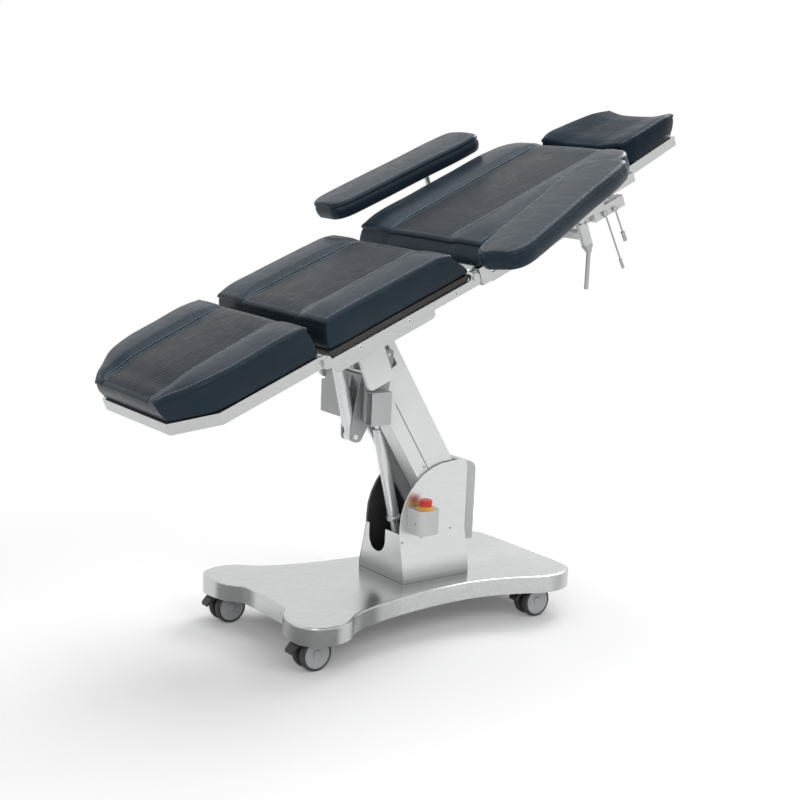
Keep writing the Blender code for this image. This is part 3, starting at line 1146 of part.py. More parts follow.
def make_seat(head):
    """The seat section on two yokes; it returns the frame whose origin is the leg hinge."""
    pivot = make_axis("seat_axis", head, (0.0, 0.0, 0.0), SEAT_TILT)
    seat = make_axis("seat_section", pivot, (-SEAT_PIVOT_ALONG, 0.0, SEAT_PIVOT_DROP))
    pan_low = -BAR_TOP - PAN_THICKNESS
    pan_half = FRAME_HALF_WIDTH - BAR_THICKNESS - GAP
    pan_end = SEAT_LENGTH - PAN_SHORT
    beam_end = SEAT_LENGTH - BEAM_SHORT
    pan = put("seat_frame", box((PAN_START, -pan_half, pan_low), (pan_end, pan_half, -BAR_TOP)), seat, STEEL)
    beam_low = -SIDE_PLATE_DROP
    for side in (-1, 1):
        edges = sorted((side * BEAM_OUTER, side * (BEAM_OUTER - BEAM_WIDTH)))
        join(pan, box((BEAM_START, edges[0], beam_low), (beam_end, edges[1], pan_low + OVERRUN / 2)))
    for x in (BEAM_START, beam_end - BEAM_WIDTH):
        join(pan, box((x, -pan_half, beam_low / 2), (x + BEAM_WIDTH, pan_half, pan_low + OVERRUN / 2)))
    lug_x = SEAT_PIVOT_ALONG - TILT_TOP_BACK
    lug_z = TILT_TOP_RISE - SEAT_PIVOT_DROP
    lug = rounded([
        (lug_x - TILT_LUG_RADIUS, lug_z - TILT_LUG_RADIUS, TILT_LUG_RADIUS * NEARLY),
        (lug_x + TILT_LUG_RADIUS, lug_z - TILT_LUG_RADIUS, TILT_LUG_RADIUS * NEARLY),
        (lug_x + TILT_LUG_RADIUS, -BAR_TOP - OVERRUN / 2, 0.0), (lug_x - TILT_LUG_RADIUS, -BAR_TOP - OVERRUN / 2, 0.0),
    ])
    half_gap = TILT_LUG_GAP / 2
    join(pan, prism(lug, "side", TILT_MIDDLE_Y - half_gap - TILT_LUG, TILT_MIDDLE_Y - half_gap))
    join(pan, prism(lug, "side", TILT_MIDDLE_Y + half_gap, TILT_MIDDLE_Y + half_gap + TILT_LUG))

    board_low = GAP - BAR_TOP
    put("seat_board", box(
        (BOARD_START, -BOARD_HALF_WIDTH, board_low), (SEAT_LENGTH - BOARD_SHORT, BOARD_HALF_WIDTH, BOARD_TOP)
    ), seat, BLACK, edge=BOARD_EDGE, edge_steps=1)

    eye = BAR_EYE_RADIUS
    bar_low = -BAR_TOP - BAR_HEIGHT
    plate_end = SEAT_LENGTH - SIDE_PLATE_SHORT
    bar = rounded([
        (-eye, eye, eye * NEARLY), (-eye, -BAR_HEIGHT, eye), (BAR_START, -BAR_HEIGHT, 0.0),
        (BAR_START, -SIDE_PLATE_DROP, SIDE_PLATE_CORNER), (plate_end, -SIDE_PLATE_DROP, SIDE_PLATE_CORNER),
        (plate_end, bar_low, 0.0), (SEAT_LENGTH + eye, bar_low, eye), (SEAT_LENGTH + eye, eye, eye * NEARLY),
        (SEAT_LENGTH - eye, eye, eye * NEARLY), (SEAT_LENGTH - BAR_START, -BAR_TOP, 0.0),
        (BAR_START, -BAR_TOP, 0.0), (eye, eye, eye * NEARLY),
    ])
    yoke_low = -SEAT_PIVOT_DROP - YOKE_BELOW
    for label, side in (("near", -1), ("far", 1)):
        outer = side * FRAME_HALF_WIDTH
        inner = side * (FRAME_HALF_WIDTH - BAR_THICKNESS)
        edges = sorted((outer, inner))
        part = put("seat_bar_" + label, prism(bar, "side", *edges), seat, STEEL)
        clear = sorted((side * (FRAME_HALF_WIDTH - BAR_THICKNESS - OVERRUN), side * (LEG_HALF_WIDTH + GAP)))
        cut(part, box(
            (-eye - OVERRUN, clear[0], -SIDE_PLATE_DROP - OVERRUN), (LEG_LUG_CLEAR, clear[1], eye + OVERRUN)
        ))
        for x in (0.0, SEAT_LENGTH):
            cut(part, rod(
                (x, edges[0] - OVERRUN, 0.0), (x, edges[1] + OVERRUN, 0.0), HINGE_ROD_RADIUS + GAP
            ))

        inside = BEAM_OUTER + GAP
        edges = sorted((side * inside, side * (inside + YOKE_THICKNESS)))
        yoke = put("tilt_yoke_" + label, prism(rounded([
            (SEAT_PIVOT_ALONG - YOKE_FOOT_REACH, yoke_low, YOKE_CORNER),
            (SEAT_PIVOT_ALONG + YOKE_HEAD_REACH, yoke_low, YOKE_CORNER),
            (SEAT_PIVOT_ALONG + YOKE_HEAD_REACH, pan_low - GAP, 0.0),
            (SEAT_PIVOT_ALONG - YOKE_FOOT_REACH, pan_low - GAP, 0.0),
        ]), "side", *edges), seat, STEEL)
        ends = sorted((side * (inside - OVERRUN), side * (inside + YOKE_SOCKET)))
        cut(yoke, rod(
            (SEAT_PIVOT_ALONG, ends[0], -SEAT_PIVOT_DROP), (SEAT_PIVOT_ALONG, ends[1], -SEAT_PIVOT_DROP),
            TILT_SHAFT_RADIUS + GAP,
        ))

    stations = [*SEAT_PAD_FOOT]
    for top_back, top_half, low_back, low_half, top in SEAT_PAD_HEAD:
        stations.append((SEAT_LENGTH - top_back, top_half, SEAT_LENGTH - low_back, low_half, top))
    cushion("seat_cushion", seat, LEATHER, stations, BOARD_TOP + GAP, PANEL_HALF_WIDTH, PANEL_DISH)
    return seat


def make_leg(seat):
    leg = make_axis("leg_axis", seat, (0.0, 0.0, 0.0))
    plan = [
        (-LEG_LENGTH, -LEG_TIP_HALF_WIDTH), (LEG_CHAMFER - LEG_LENGTH, -LEG_HALF_WIDTH), (-LEG_START, -LEG_HALF_WIDTH),
        (-LEG_START, LEG_HALF_WIDTH), (LEG_CHAMFER - LEG_LENGTH, LEG_HALF_WIDTH), (-LEG_LENGTH, LEG_TIP_HALF_WIDTH),
    ]
    top = SHELF_RISE - GAP
    tray = put("leg_tray", prism(plan, "flat", -TRAY_DROP, top), leg, STEEL)
    cut(tray, prism(inset_corners(plan, TRAY_SHEET), "flat", -TRAY_DROP - OVERRUN, top - TRAY_SHEET))
    for side in (-1, 1):
        edges = sorted((side * (LEG_HALF_WIDTH - LEG_LUG), side * LEG_HALF_WIDTH))
        join(tray, prism(rounded([
            (-LEG_START * 2, -LEG_LUG_RADIUS, 0.0), (LEG_LUG_RADIUS, -LEG_LUG_RADIUS, LEG_LUG_RADIUS * NEARLY),
            (LEG_LUG_RADIUS, LEG_LUG_RADIUS, LEG_LUG_RADIUS * NEARLY), (-LEG_START * 2, LEG_LUG_RADIUS, 0.0),
        ]), "side", *edges))
    end = FRAME_HALF_WIDTH + GAP
    join(tray, rod((0.0, -end - HINGE_HEAD / 2, 0.0), (0.0, end + HINGE_HEAD / 2, 0.0), HINGE_ROD_RADIUS))
    for side in (-1, 1):
        join(tray, rod((0.0, side * end, 0.0), (0.0, side * (end + HINGE_HEAD), 0.0), HINGE_HEAD_RADIUS))
    cushion("leg_cushion", leg, LEATHER, LEG_PAD, SHELF_RISE, PANEL_HALF_WIDTH, PANEL_DISH)


def make_back(seat):
    """The back section, with the rails and sockets that carry the arm supports and the headrest."""
    back = make_axis("back_axis", seat, (SEAT_LENGTH, 0.0, 0.0), BACK_ANGLE)
    top = SHELF_RISE - GAP
    half = BACK_PAN_HALF_WIDTH
    pan = put("back_frame", box((BACK_PAN_START, -half, -BACK_PAN_DROP), (BACK_PAN_END, half, top)), back, STEEL)
    cut(pan, box(
        (BACK_PAN_START + TRAY_SHEET, TRAY_SHEET - half, -BACK_PAN_DROP - OVERRUN),
        (BACK_PAN_END - TRAY_SHEET, half - TRAY_SHEET, top - TRAY_SHEET),
    ))
    rail_low = -RAIL_DROP - RAIL_HEIGHT
    for side in (-1, 1):
        edges = sorted((side * KNUCKLE_FROM, side * FRAME_HALF_WIDTH))
        join(pan, box((KNUCKLE_START, edges[0], -KNUCKLE_DROP), (KNUCKLE_END, edges[1], KNUCKLE_RISE)))
        edges = sorted((side * BACK_LUG_FROM, side * BACK_LUG_TO))
        join(pan, prism(rounded([
            (-BACK_LUG_RADIUS, -BACK_LUG_RADIUS, BACK_LUG_RADIUS * NEARLY), (BACK_PAN_START, -BACK_LUG_RADIUS, 0.0),
            (BACK_PAN_START, BACK_LUG_RADIUS, 0.0), (-BACK_LUG_RADIUS, BACK_LUG_RADIUS, BACK_LUG_RADIUS * NEARLY),
        ]), "side", *edges))
        edges = sorted((side * (FRAME_HALF_WIDTH - RAIL_WIDTH), side * FRAME_HALF_WIDTH))
        join(pan, box((KNUCKLE_END - OVERRUN, edges[0], rail_low), (RAIL_END, edges[1], -RAIL_DROP)))
        edges = sorted((side * (half - BEAM_WIDTH), side * (FRAME_HALF_WIDTH - RAIL_WIDTH + OVERRUN)))
        join(pan, box(
            (RAIL_END - BEAM_WIDTH, edges[0], rail_low), (RAIL_END, edges[1], -RAIL_DROP)
        ))
        edges = sorted((side * (half - BEAM_WIDTH), side * (half - TRAY_SHEET / 2)))
        join(pan, box((RAIL_END - BEAM_WIDTH, edges[0], rail_low), (RAIL_END, edges[1], TRAY_SHEET)))
        low, high = side * SOCKET_Y - SOCKET_HALF, side * SOCKET_Y + SOCKET_HALF
        join(pan, box(
            (SOCKET_START, low, -HEADREST_AXIS_DROP - SOCKET_HALF), (BACK_PAN_END, high, top - TRAY_SHEET / 2)
        ))
        cut(pan, rod(
            (SOCKET_START - OVERRUN, side * SOCKET_Y, -HEADREST_AXIS_DROP),
            (BACK_PAN_END + OVERRUN, side * SOCKET_Y, -HEADREST_AXIS_DROP), HEADREST_BAR_RADIUS + GAP,
        ))
    end = FRAME_HALF_WIDTH + GAP
    join(pan, rod((0.0, -end - HINGE_HEAD / 2, 0.0), (0.0, end + HINGE_HEAD / 2, 0.0), HINGE_ROD_RADIUS))
    for side in (-1, 1):
        join(pan, rod((0.0, side * end, 0.0), (0.0, side * (end + HINGE_HEAD), 0.0), HINGE_HEAD_RADIUS))
    cushion("back_cushion", back, LEATHER, BACK_PAD, SHELF_RISE, PANEL_HALF_WIDTH, PANEL_DISH)
    return back


def make_headrest(back):
    slide = make_axis("headrest_slide_axis", back, (HEADREST_AXIS_X, 0.0, -HEADREST_AXIS_DROP))
    cross = HEADREST_CROSS_HALF
    bars = put("headrest_bars", rod((0.0, -cross, 0.0), (0.0, cross, 0.0), HEADREST_CROSS_RADIUS), slide, STEEL)
    for side in (-1, 1):
        join(bars, rod(
            (HEADREST_BAR_START - HEADREST_AXIS_X, side * SOCKET_Y, 0.0), (0.0, side * SOCKET_Y, 0.0),
            HEADREST_BAR_RADIUS,
        ))
    axis = make_axis("headrest_axis", slide, (0.0, 0.0, 0.0), HEADREST_ANGLE)
    plan = [
        (HEADREST_START, -HEADREST_FOOT_HALF_WIDTH), (HEADREST_START + HEADREST_LENGTH, -HEADREST_END_HALF_WIDTH),
        (HEADREST_START + HEADREST_LENGTH, HEADREST_END_HALF_WIDTH), (HEADREST_START, HEADREST_FOOT_HALF_WIDTH),
    ]
    low = HEADREST_TRAY_TOP - HEADREST_TRAY_HEIGHT
    tray = put("headrest_tray", prism(plan, "flat", low, HEADREST_TRAY_TOP), axis, STEEL)
    cut(tray, prism(
        inset_corners(plan, TRAY_SHEET), "flat", low - OVERRUN, HEADREST_TRAY_TOP - TRAY_SHEET
    ))
    eye = HEADREST_KNUCKLE_RADIUS
    knuckle = rounded([
        (-eye, -eye, eye * NEARLY), (eye, -eye, eye / 2), (HEADREST_START * 2, HEADREST_TRAY_HEIGHT, 0.0),
        (-eye, HEADREST_TRAY_HEIGHT, eye / 2),
    ])
    for side in (-1, 1):
        edges = sorted((side * HEADREST_KNUCKLE_FROM, side * HEADREST_KNUCKLE_TO))
        join(tray, prism(knuckle, "side", *edges))
    reach = HEADREST_KNUCKLE_TO + OVERRUN
    cut(tray, rod((0.0, -reach, 0.0), (0.0, reach, 0.0), HEADREST_CROSS_RADIUS + GAP))
    cushion(
        "headrest_cushion", axis, LEATHER, HEADREST_PAD, HEADREST_TRAY_TOP + GAP, PANEL_HALF_WIDTH, HEADREST_DISH,
        notch=HEADREST_NOTCH, bowl=True,
    )


def make_support(back, label, side, pose):
    """An arm support: a clamp on the rail, a tilting bracket, a swinging post and plate, and the pad.
    Its pose is (tilt, swing, distance of the post behind the clamp's pivot, distance from the middle)."""
    tilt, turn, setback, post_reach = pose
    name = "armrest_" + label + "_"
    pivot_x = SUPPORT_PIVOT_X
    rise = SUPPORT_PIVOT_RISE

    def span(start, end):
        return sorted((side * start, side * end))

    def pin(x, z, start, end, radius, sides=ROUND_SIDES):
        return rod((x, side * start, z), (x, side * end, z), radius, sides)

    rail_low = -RAIL_DROP - RAIL_HEIGHT
    low = rail_low - GAP - CLAMP_LIP
    high = -RAIL_DROP + GAP + CLAMP_LIP
    lip = FRAME_HALF_WIDTH - RAIL_WIDTH
    ear = SUPPORT_EYE_RADIUS
    end = CLAMP_START + CLAMP_LENGTH
    clamp = put(name + "clamp", prism(rounded([
        (CLAMP_START, low, 0.0), (end, low, 0.0), (end, high, 0.0), (pivot_x + ear, high, 0.0),
        (pivot_x + ear, rise + ear, ear * NEARLY), (pivot_x - ear, rise + ear, ear * NEARLY),
        (pivot_x - ear, high, 0.0), (CLAMP_START, high, 0.0),
    ]), "side", *span(lip, CLAMP_OUTER)), back, BLACK)
    near, far = span(lip - OVERRUN, FRAME_HALF_WIDTH + GAP)
    cut(clamp, box((CLAMP_START - OVERRUN, near, rail_low - GAP), (end + OVERRUN, far, GAP - RAIL_DROP)))
    near, far = span(lip - OVERRUN, CLAMP_EAR)
    cut(clamp, box((CLAMP_START - OVERRUN, near, high), (end + OVERRUN, far, rise + ear + OVERRUN)))
    bracket_outer = CLAMP_OUTER + GAP + SUPPORT_EYE_WIDTH
    inside = CLAMP_OUTER + GAP
    root = (CLAMP_EAR + CLAMP_OUTER) / 2
    join(clamp, pin(pivot_x, rise, root, bracket_outer, SUPPORT_PIN_RADIUS))
    lever_outer = CLAMP_OUTER + GAP + LEVER_EYE
    for x, z in ((LEVER_LONG_X, -LEVER_LONG_DROP), (LEVER_SHORT_X, -LEVER_SHORT_DROP)):
        join(clamp, pin(x, z, root, lever_outer, LEVER_PIN_RADIUS, SMALL_SIDES))

    for kind, x, drop, length, radius, material in (
        ("lever_long", LEVER_LONG_X, LEVER_LONG_DROP, LEVER_LONG_LENGTH, LEVER_LONG_RADIUS, STEEL),
        ("lever_short", LEVER_SHORT_X, LEVER_SHORT_DROP, LEVER_SHORT_LENGTH, LEVER_SHORT_RADIUS, BLACK),
    ):
        axis = make_axis(name + kind + "_axis", back, (x, side * CLAMP_OUTER, -drop), LEVER_LEAN)
        inner, outer = GAP, GAP + LEVER_EYE
        hub = rod((0.0, side * inner, 0.0), (0.0, side * outer, 0.0), LEVER_EYE_RADIUS)
        lever = put(name + kind, hub, axis, material)
        middle = side * (inner + outer) / 2
        shank = min(radius, LEVER_EYE / 2 * NEARLY)
        join(lever, rod((0.0, middle, 0.0), (0.0, middle, -length), shank, SMALL_SIDES))
        join(lever, rod((0.0, middle, -length), (0.0, middle, LEVER_TIP - length), radius, SMALL_SIDES))
        cut(lever, rod(
            (0.0, side * (inner - OVERRUN), 0.0), (0.0, side * (outer + OVERRUN), 0.0), LEVER_PIN_RADIUS + GAP,
            SMALL_SIDES,
        ))

    pivot = make_axis(name + "bracket_axis", back, (pivot_x, 0.0, rise), tilt)
    arm = SUPPORT_ARM_HALF
    bracket = put(name + "bracket", prism(rounded([
        (-setback - arm, -arm, arm / 2), (-ear, -arm, 0.0), (0.0, -ear, ear / 2), (ear, -ear, ear / 2),
        (ear, ear, ear * NEARLY), (-ear, ear, ear / 2), (-ear * 2, arm, 0.0), (-setback - arm, arm, arm / 2),
    ]), "side", *span(lever_outer + GAP, bracket_outer)), pivot, STEEL)
    join(bracket, pin(0.0, 0.0, inside, lever_outer + OVERRUN, ear * NEARLY))
    cut(bracket, pin(0.0, 0.0, inside - OVERRUN, bracket_outer + OVERRUN, SUPPORT_PIN_RADIUS + GAP))
    post_y = side * post_reach
    near, far = span(bracket_outer - OVERRUN, post_reach)
    join(bracket, box((-setback - arm + GAP, near, GAP - arm), (arm - setback - GAP, far, arm - GAP)))
    join(bracket, rod((-setback, post_y, -SLEEVE_DROP), (-setback, post_y, SLEEVE_TOP), SLEEVE_RADIUS))
    cut(bracket, rod(
        (-setback, post_y, -SLEEVE_DROP - OVERRUN), (-setback, post_y, SLEEVE_TOP + OVERRUN), POST_RADIUS + GAP
    ))

    plate_top = SUPPORT_TOP_RISE - PAD_THICKNESS + SUPPORT_PLATE_THICKNESS
    swing = make_axis(name + "swing_axis", pivot, (-setback, post_y, 0.0))
    swing.rotation_euler = (0.0, 0.0, -side * turn)
    half = PAD_WIDTH / 2
    edge = half - SUPPORT_PLATE_INSET
    low_x = SUPPORT_PLATE_INSET - PAD_FOOT_REACH
    high_x = PAD_LENGTH - PAD_FOOT_REACH - SUPPORT_PLATE_INSET
    corner = PAD_CORNER - SUPPORT_PLATE_INSET
    post = put(name + "post", prism(rounded([
        (low_x, -edge, corner), (high_x, -edge, corner), (high_x, edge, corner), (low_x, edge, corner),
    ]), "flat", plate_top - SUPPORT_PLATE_THICKNESS, plate_top), swing, STEEL)
    join(post, rod((0.0, 0.0, -SLEEVE_DROP), (0.0, 0.0, plate_top - SUPPORT_PLATE_THICKNESS / 2), POST_RADIUS))

    foot = -PAD_FOOT_REACH
    head = PAD_LENGTH - PAD_FOOT_REACH
    top = SUPPORT_TOP_RISE
    places = [(foot + PAD_FOOT_CURVE * along, half * width) for along, width in PAD_FOOT_SHARES]
    places += [(head - PAD_HEAD_CURVE * along, half * width) for along, width in PAD_HEAD_SHARES]
    cushion(name + "pad", swing, LEATHER, [(*place, *place, top) for place in places], plate_top + GAP, half, 0.0)

    grip = make_axis(name + "handle_axis", pivot, (-setback, post_y, -SLEEVE_DROP - GAP))
    handle = turned(name + "handle", [
        (0.0, 0.0), (SLEEVE_RADIUS, 0.0), (SLEEVE_RADIUS, -HANDLE_COLLAR), (HANDLE_RADIUS, -HANDLE_NECK),
        (0.0, -HANDLE_NECK),
    ], grip, STEEL)
    lean = SEAT_TILT + BACK_ANGLE + tilt
    start = Vector((0.0, 0.0, HANDLE_RADIUS - HANDLE_NECK))
    end = start + Vector((-math.sin(lean), 0.0, -math.cos(lean))) * HANDLE_LENGTH
    join(handle, rod(start, end, HANDLE_RADIUS * NEARLY, SMALL_SIDES))


def build():
    base = make_axis("base", None, (BASE_MIDDLE_X, BASE_MIDDLE_Y, 0.0))
    make_base(base)
    make_pedestal(base)
    make_control_box(base)
    make_stop(base)
    foot_x = CASTER_FOOT_INSET - BASE_FOOT_REACH
    head_x = BASE_LENGTH - BASE_FOOT_REACH - CASTER_HEAD_INSET
    for end, x, half in (("foot", foot_x, CASTER_FOOT_Y), ("head", head_x, CASTER_HEAD_Y)):
        make_caster(end, "near", base, x, -half)
        make_caster(end, "far", base, x, half)
    make_arm(base)
    make_link(base)
    make_lift(base)
    head = make_level_head(base)
    make_tilt(head)
    seat = make_seat(head)
    make_leg(seat)
    back = make_back(seat)
    make_headrest(back)
    make_support(back, "near", -1, SUPPORT_NEAR_POSE)
    make_support(back, "far", 1, SUPPORT_FAR_POSE)


for leftover in list(bpy.data.objects):
    bpy.data.objects.remove(leftover)
PARTS = make_collection("operating_table")
CUTTERS = make_collection("cutters")
PAINT = make_material("painted_cover", (0.62, 0.63, 0.62), 0.35, 0.0)
STEEL = make_material("brushed_steel", (0.62, 0.63, 0.65), 0.28, 1.0)
DARK_STEEL = make_material("chassis_steel", (0.12, 0.12, 0.13), 0.45, 1.0)
BLACK = make_material("black_coat", (0.03, 0.03, 0.03), 0.40, 0.0)
GREY_PLASTIC = make_material("caster_grey", (0.45, 0.46, 0.47), 0.50, 0.0)
RUBBER = make_material("caster_rubber", (0.05, 0.05, 0.05), 0.70, 0.0)
LEATHER = make_material("pad_leather", (0.045, 0.055, 0.08), 0.40, 0.0)
RED = make_material("stop_red", (0.60, 0.02, 0.02), 0.35, 0.0)
YELLOW = make_material("stop_yellow", (0.80, 0.45, 0.03), 0.45, 0.0)
build()
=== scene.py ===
"""Looks of the operating table: pads, steel and plastic finishes, wheels, small fittings, light and camera.

Metres, +Z up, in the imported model's frame. Each pad is drawn in the flat frame of the section that carries
it, with x along the section from its hinge, and is then tilted about that hinge.
"""

import collections
import json
import math

import bmesh
import bpy
from mathutils import Matrix, Vector, noise


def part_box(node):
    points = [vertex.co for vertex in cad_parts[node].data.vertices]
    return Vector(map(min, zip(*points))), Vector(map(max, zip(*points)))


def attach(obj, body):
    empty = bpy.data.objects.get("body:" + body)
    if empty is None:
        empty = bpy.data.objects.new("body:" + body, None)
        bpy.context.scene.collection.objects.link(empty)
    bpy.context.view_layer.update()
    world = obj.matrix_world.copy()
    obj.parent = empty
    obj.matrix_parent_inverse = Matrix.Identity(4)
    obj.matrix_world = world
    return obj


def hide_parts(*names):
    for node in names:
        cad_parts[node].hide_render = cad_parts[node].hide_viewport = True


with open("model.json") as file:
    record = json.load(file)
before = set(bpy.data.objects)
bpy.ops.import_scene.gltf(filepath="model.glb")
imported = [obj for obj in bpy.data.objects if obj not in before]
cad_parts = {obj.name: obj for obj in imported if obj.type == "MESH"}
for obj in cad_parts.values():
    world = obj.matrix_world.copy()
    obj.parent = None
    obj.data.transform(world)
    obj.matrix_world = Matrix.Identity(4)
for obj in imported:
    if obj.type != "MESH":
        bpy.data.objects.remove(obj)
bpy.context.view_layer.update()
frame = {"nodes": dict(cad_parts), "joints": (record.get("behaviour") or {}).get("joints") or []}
NODES = frame["nodes"]
JOINTS = {joint["name"]: joint for joint in frame["joints"]}

# Camera, fitted to the photograph
IMAGE_WIDTH = 800
FOCAL_PIXELS = 1534.45
SENSOR = 36.0
CAMERA_AZIMUTH = math.radians(37.33)
CAMERA_PITCH = math.radians(11.29)
CAMERA_ROLL = math.radians(-2.47)
CAMERA_PLACE = Vector((-2.7854, -3.5610, 1.6031))

# Drawing quality, and the width of worn edges
TURN_STEPS = 64
ROW_STEP = 0.008
SMOOTH_LIMIT = math.radians(40)
EDGE_WIDTH = 0.0008
CASTER_EDGE_WIDTH = 0.0002
EDGE_SEGMENTS = 2
WELD_DISTANCE = 0.00002

# The sections' turns at rest that no joint's axis gives
HEADREST_LEAN = math.radians(2.2)
NEAR_ARM_SWING = math.radians(15)

# Pads: each station along one is (top x, top half width, low x, low half width, top height)
SEAT_STATIONS = (
    (0.036, 0.286, 0.022, 0.282, 0.102), (0.070, 0.292, 0.060, 0.286, 0.107),
    (0.170, 0.294, 0.170, 0.286, 0.109), (0.280, 0.294, 0.280, 0.286, 0.109),
    (0.390, 0.294, 0.390, 0.286, 0.108), (0.460, 0.292, 0.490, 0.286, 0.105),
    (0.486, 0.289, 0.535, 0.284, 0.099),
)
LEG_STATIONS = (
    (-0.456, 0.172, -0.446, 0.182, 0.084), (-0.434, 0.196, -0.430, 0.203, 0.092),
    (-0.400, 0.226, -0.397, 0.234, 0.097), (-0.350, 0.264, -0.350, 0.276, 0.107),
    (-0.290, 0.283, -0.300, 0.285, 0.112), (-0.180, 0.287, -0.180, 0.286, 0.116),
    (-0.060, 0.288, -0.050, 0.286, 0.118), (-0.020, 0.284, -0.010, 0.283, 0.114),
)
BACK_STATIONS = (
    (0.046, 0.294, 0.016, 0.292, 0.084), (0.090, 0.300, 0.070, 0.298, 0.090),
    (0.250, 0.301, 0.250, 0.299, 0.092), (0.430, 0.301, 0.430, 0.299, 0.092),
    (0.600, 0.300, 0.600, 0.298, 0.091), (0.668, 0.282, 0.665, 0.282, 0.089),
    (0.704, 0.242, 0.700, 0.246, 0.085), (0.716, 0.202, 0.714, 0.208, 0.080),
)
HEADREST_STATIONS = (
    (0.018, 0.188, 0.020, 0.186, 0.107), (0.050, 0.199, 0.045, 0.194, 0.112),
    (0.110, 0.195, 0.110, 0.187, 0.113), (0.180, 0.184, 0.175, 0.175, 0.113),
    (0.250, 0.167, 0.240, 0.159, 0.112), (0.302, 0.144, 0.281, 0.142, 0.107),
)
SEAT_LOW = 0.0158
TRAY_LOW = 0.0178
HEADREST_LOW = 0.0333

# The middle panel of a pad's top: half width, its most share of the pad's, dish and roll. A sewn pad's dish
# is shallower near the ends, and the headrest's head end is hollowed.
PANEL_HALF_WIDTH = 0.150
PANEL_LIMIT_SHARE = 0.78
PANEL_DISH = 0.0075
PANEL_ROLL = 0.040
HEADREST_PANEL = 0.060
HEADREST_ROLL = 0.120
HEADREST_DISH = 0.012
END_DISH_SHARE = 0.40
END_FADE = 0.090
NOTCH_STATIONS = 1.5
HEADREST_NOTCH = 0.016

# Rims and walls of the pads, from the top down
RIM_RADIUS = 0.0120
CREASE_DROPS = (0.0012, 0.0030)
SIDE_DRAW_IN = 0.0032
SIDE_FULLNESS = 0.7
LOW_RIM_HEIGHT = 0.009
LOW_TUCK = 0.011
RIM_STEPS = 6
WALL_STEPS = 12
TUCK_STEPS = 4

# Arm pads: shares of a curve's length along, and of the half width across, at each rounded end
ARM_PAD_LENGTH = 0.612
ARM_PAD_FOOT_REACH = 0.415
ARM_PAD_HALF_WIDTH = 0.0835
ARM_PAD_LOW = 0.0943
ARM_PAD_TOP = 0.152
ARM_FOOT_CURVE = 0.090
ARM_FOOT_SHARES = ((0.0, 0.48), (0.1, 0.72), (0.3, 0.89), (0.61, 0.98), (1.0, 1.0))
ARM_HEAD_CURVE = 0.050
ARM_HEAD_SHARES = ((5.0, 1.0), (1.0, 1.0), (0.4, 0.94), (0.1, 0.82), (0.0, 0.66))

# Sewn channels, the crowns between them, of which the panel's is half sunk, and the top's slight puckers
SEAM_HALF_WIDTH = 0.006
SEAM_DEPTH = 0.0045
SEAM_SHARPNESS = 0.0022
SEAM_STEPS = 4
PANEL_CROWN = 0.0045
PANEL_CROWN_SUNK = 0.5
BOLSTER_CROWN = 0.0035
ARM_PAD_CROWN = 0.0025
PUCKER = 0.0006
PUCKER_SCALE = 55.0

# Stitches: each ring's place is a share of the length from the middle, and its size a share of the radius
STITCH_LENGTH = 0.0046
STITCH_PITCH = 0.0074
STITCH_RADIUS = 0.0009
STITCH_RINGS = ((-0.5, 0.35), (-0.3, 1.0), (0.3, 1.0), (0.5, 0.35))
STITCH_SIDES = 6
STITCH_FLATNESS = 0.7
STITCH_LIFT = 0.2
STITCH_ROW_OFFSET = 0.0055
STITCH_END_GAP = 0.004

# Materials: a noise is (scale, detail), a bump (strength, distance), and colours go from darker to lighter
NOISE_RANGE = (0.3, 0.7)
LEATHER_PLAIN = (0.016, 0.025, 0.036)
LEATHER_COLOURS = ((0.013, 0.021, 0.030), (0.019, 0.030, 0.043))
LEATHER_TINT = (0.62, 0.84, 1.0, 1.0)
LEATHER_ROUGHNESS = (0.27, 0.37)
LEATHER_CLOUDS = (9.0, 4.0)
LEATHER_SMEARS = (26.0, 3.0)
LEATHER_FOLDS = (38.0, 2.0)
FOLD_BUMP = (0.14, 0.004)
GRAIN_SCALE = 620.0
GRAIN_BUMP = (0.18, 0.0006)
RIB_PITCH = 0.0080
RIB_WANDER = 1.2
RIB_WANDER_SCALE = 3.0
RIB_FOOT = 0.3
RIB_BUMP = (0.55, 0.0009)
WAVE_RATE = 20.0
PANEL_SHADE = 0.40
# The pads' walls are darkened by this share as painted shade
WALL_PAINTED_SHADE = 0.85
PAD_SHEEN = 0.22
PANEL_SHEEN_SHARE = 0.70
HEADREST_SHEEN = 0.03
THREAD_PLAIN = (0.20, 0.23, 0.27)
THREAD_COLOURS = ((0.22, 0.25, 0.29), (0.36, 0.40, 0.45))
THREAD_ROUGHNESS = 0.6
THREAD_TWIST = (900.0, 1.0)
THREAD_BUMP = (0.3, 0.0004)
BRUSH_DETAIL = 4.0
BRUSH_FINENESS = 0.6
BRUSH_SMEARS = (7.0, 3.0)
BRUSH_ANISOTROPY = 0.4
BRUSH_BUMP = (0.07, 0.0004)
COAT_CLOUDS = (6.0, 3.0)
COAT_SMEARS = (22.0, 3.0)
COAT_DETAIL = 2.0
COAT_DEPTH = 0.0004

# The numbers of the Mix node's sockets, whose names repeat: its factor, and each kind's pair and result
MIX_FACTOR = 0
MIX_NUMBERS = (2, 3)
MIX_NUMBER = 0
MIX_COLOURS = (6, 7)
MIX_COLOUR = 2

# Painted reflections on the base's skirt and the pedestal's flare: darker bands painted into the steel's
# colour, by height above the floor
SKIRT_TOP = 0.1450
SKIRT_FADE = (SKIRT_TOP - 0.004, SKIRT_TOP - 0.001)
SKIRT_REFLECTION_BANDS = (5.0, 1.0)
SKIRT_REFLECTION_RANGE = (0.40, 0.52)
SKIRT_REFLECTION_SHADE = 0.42
FLARE_DARK_HEIGHT = 0.155
FLARE_LIGHT_HEIGHT = 0.215
FLARE_REFLECTION_SHADE = 0.50

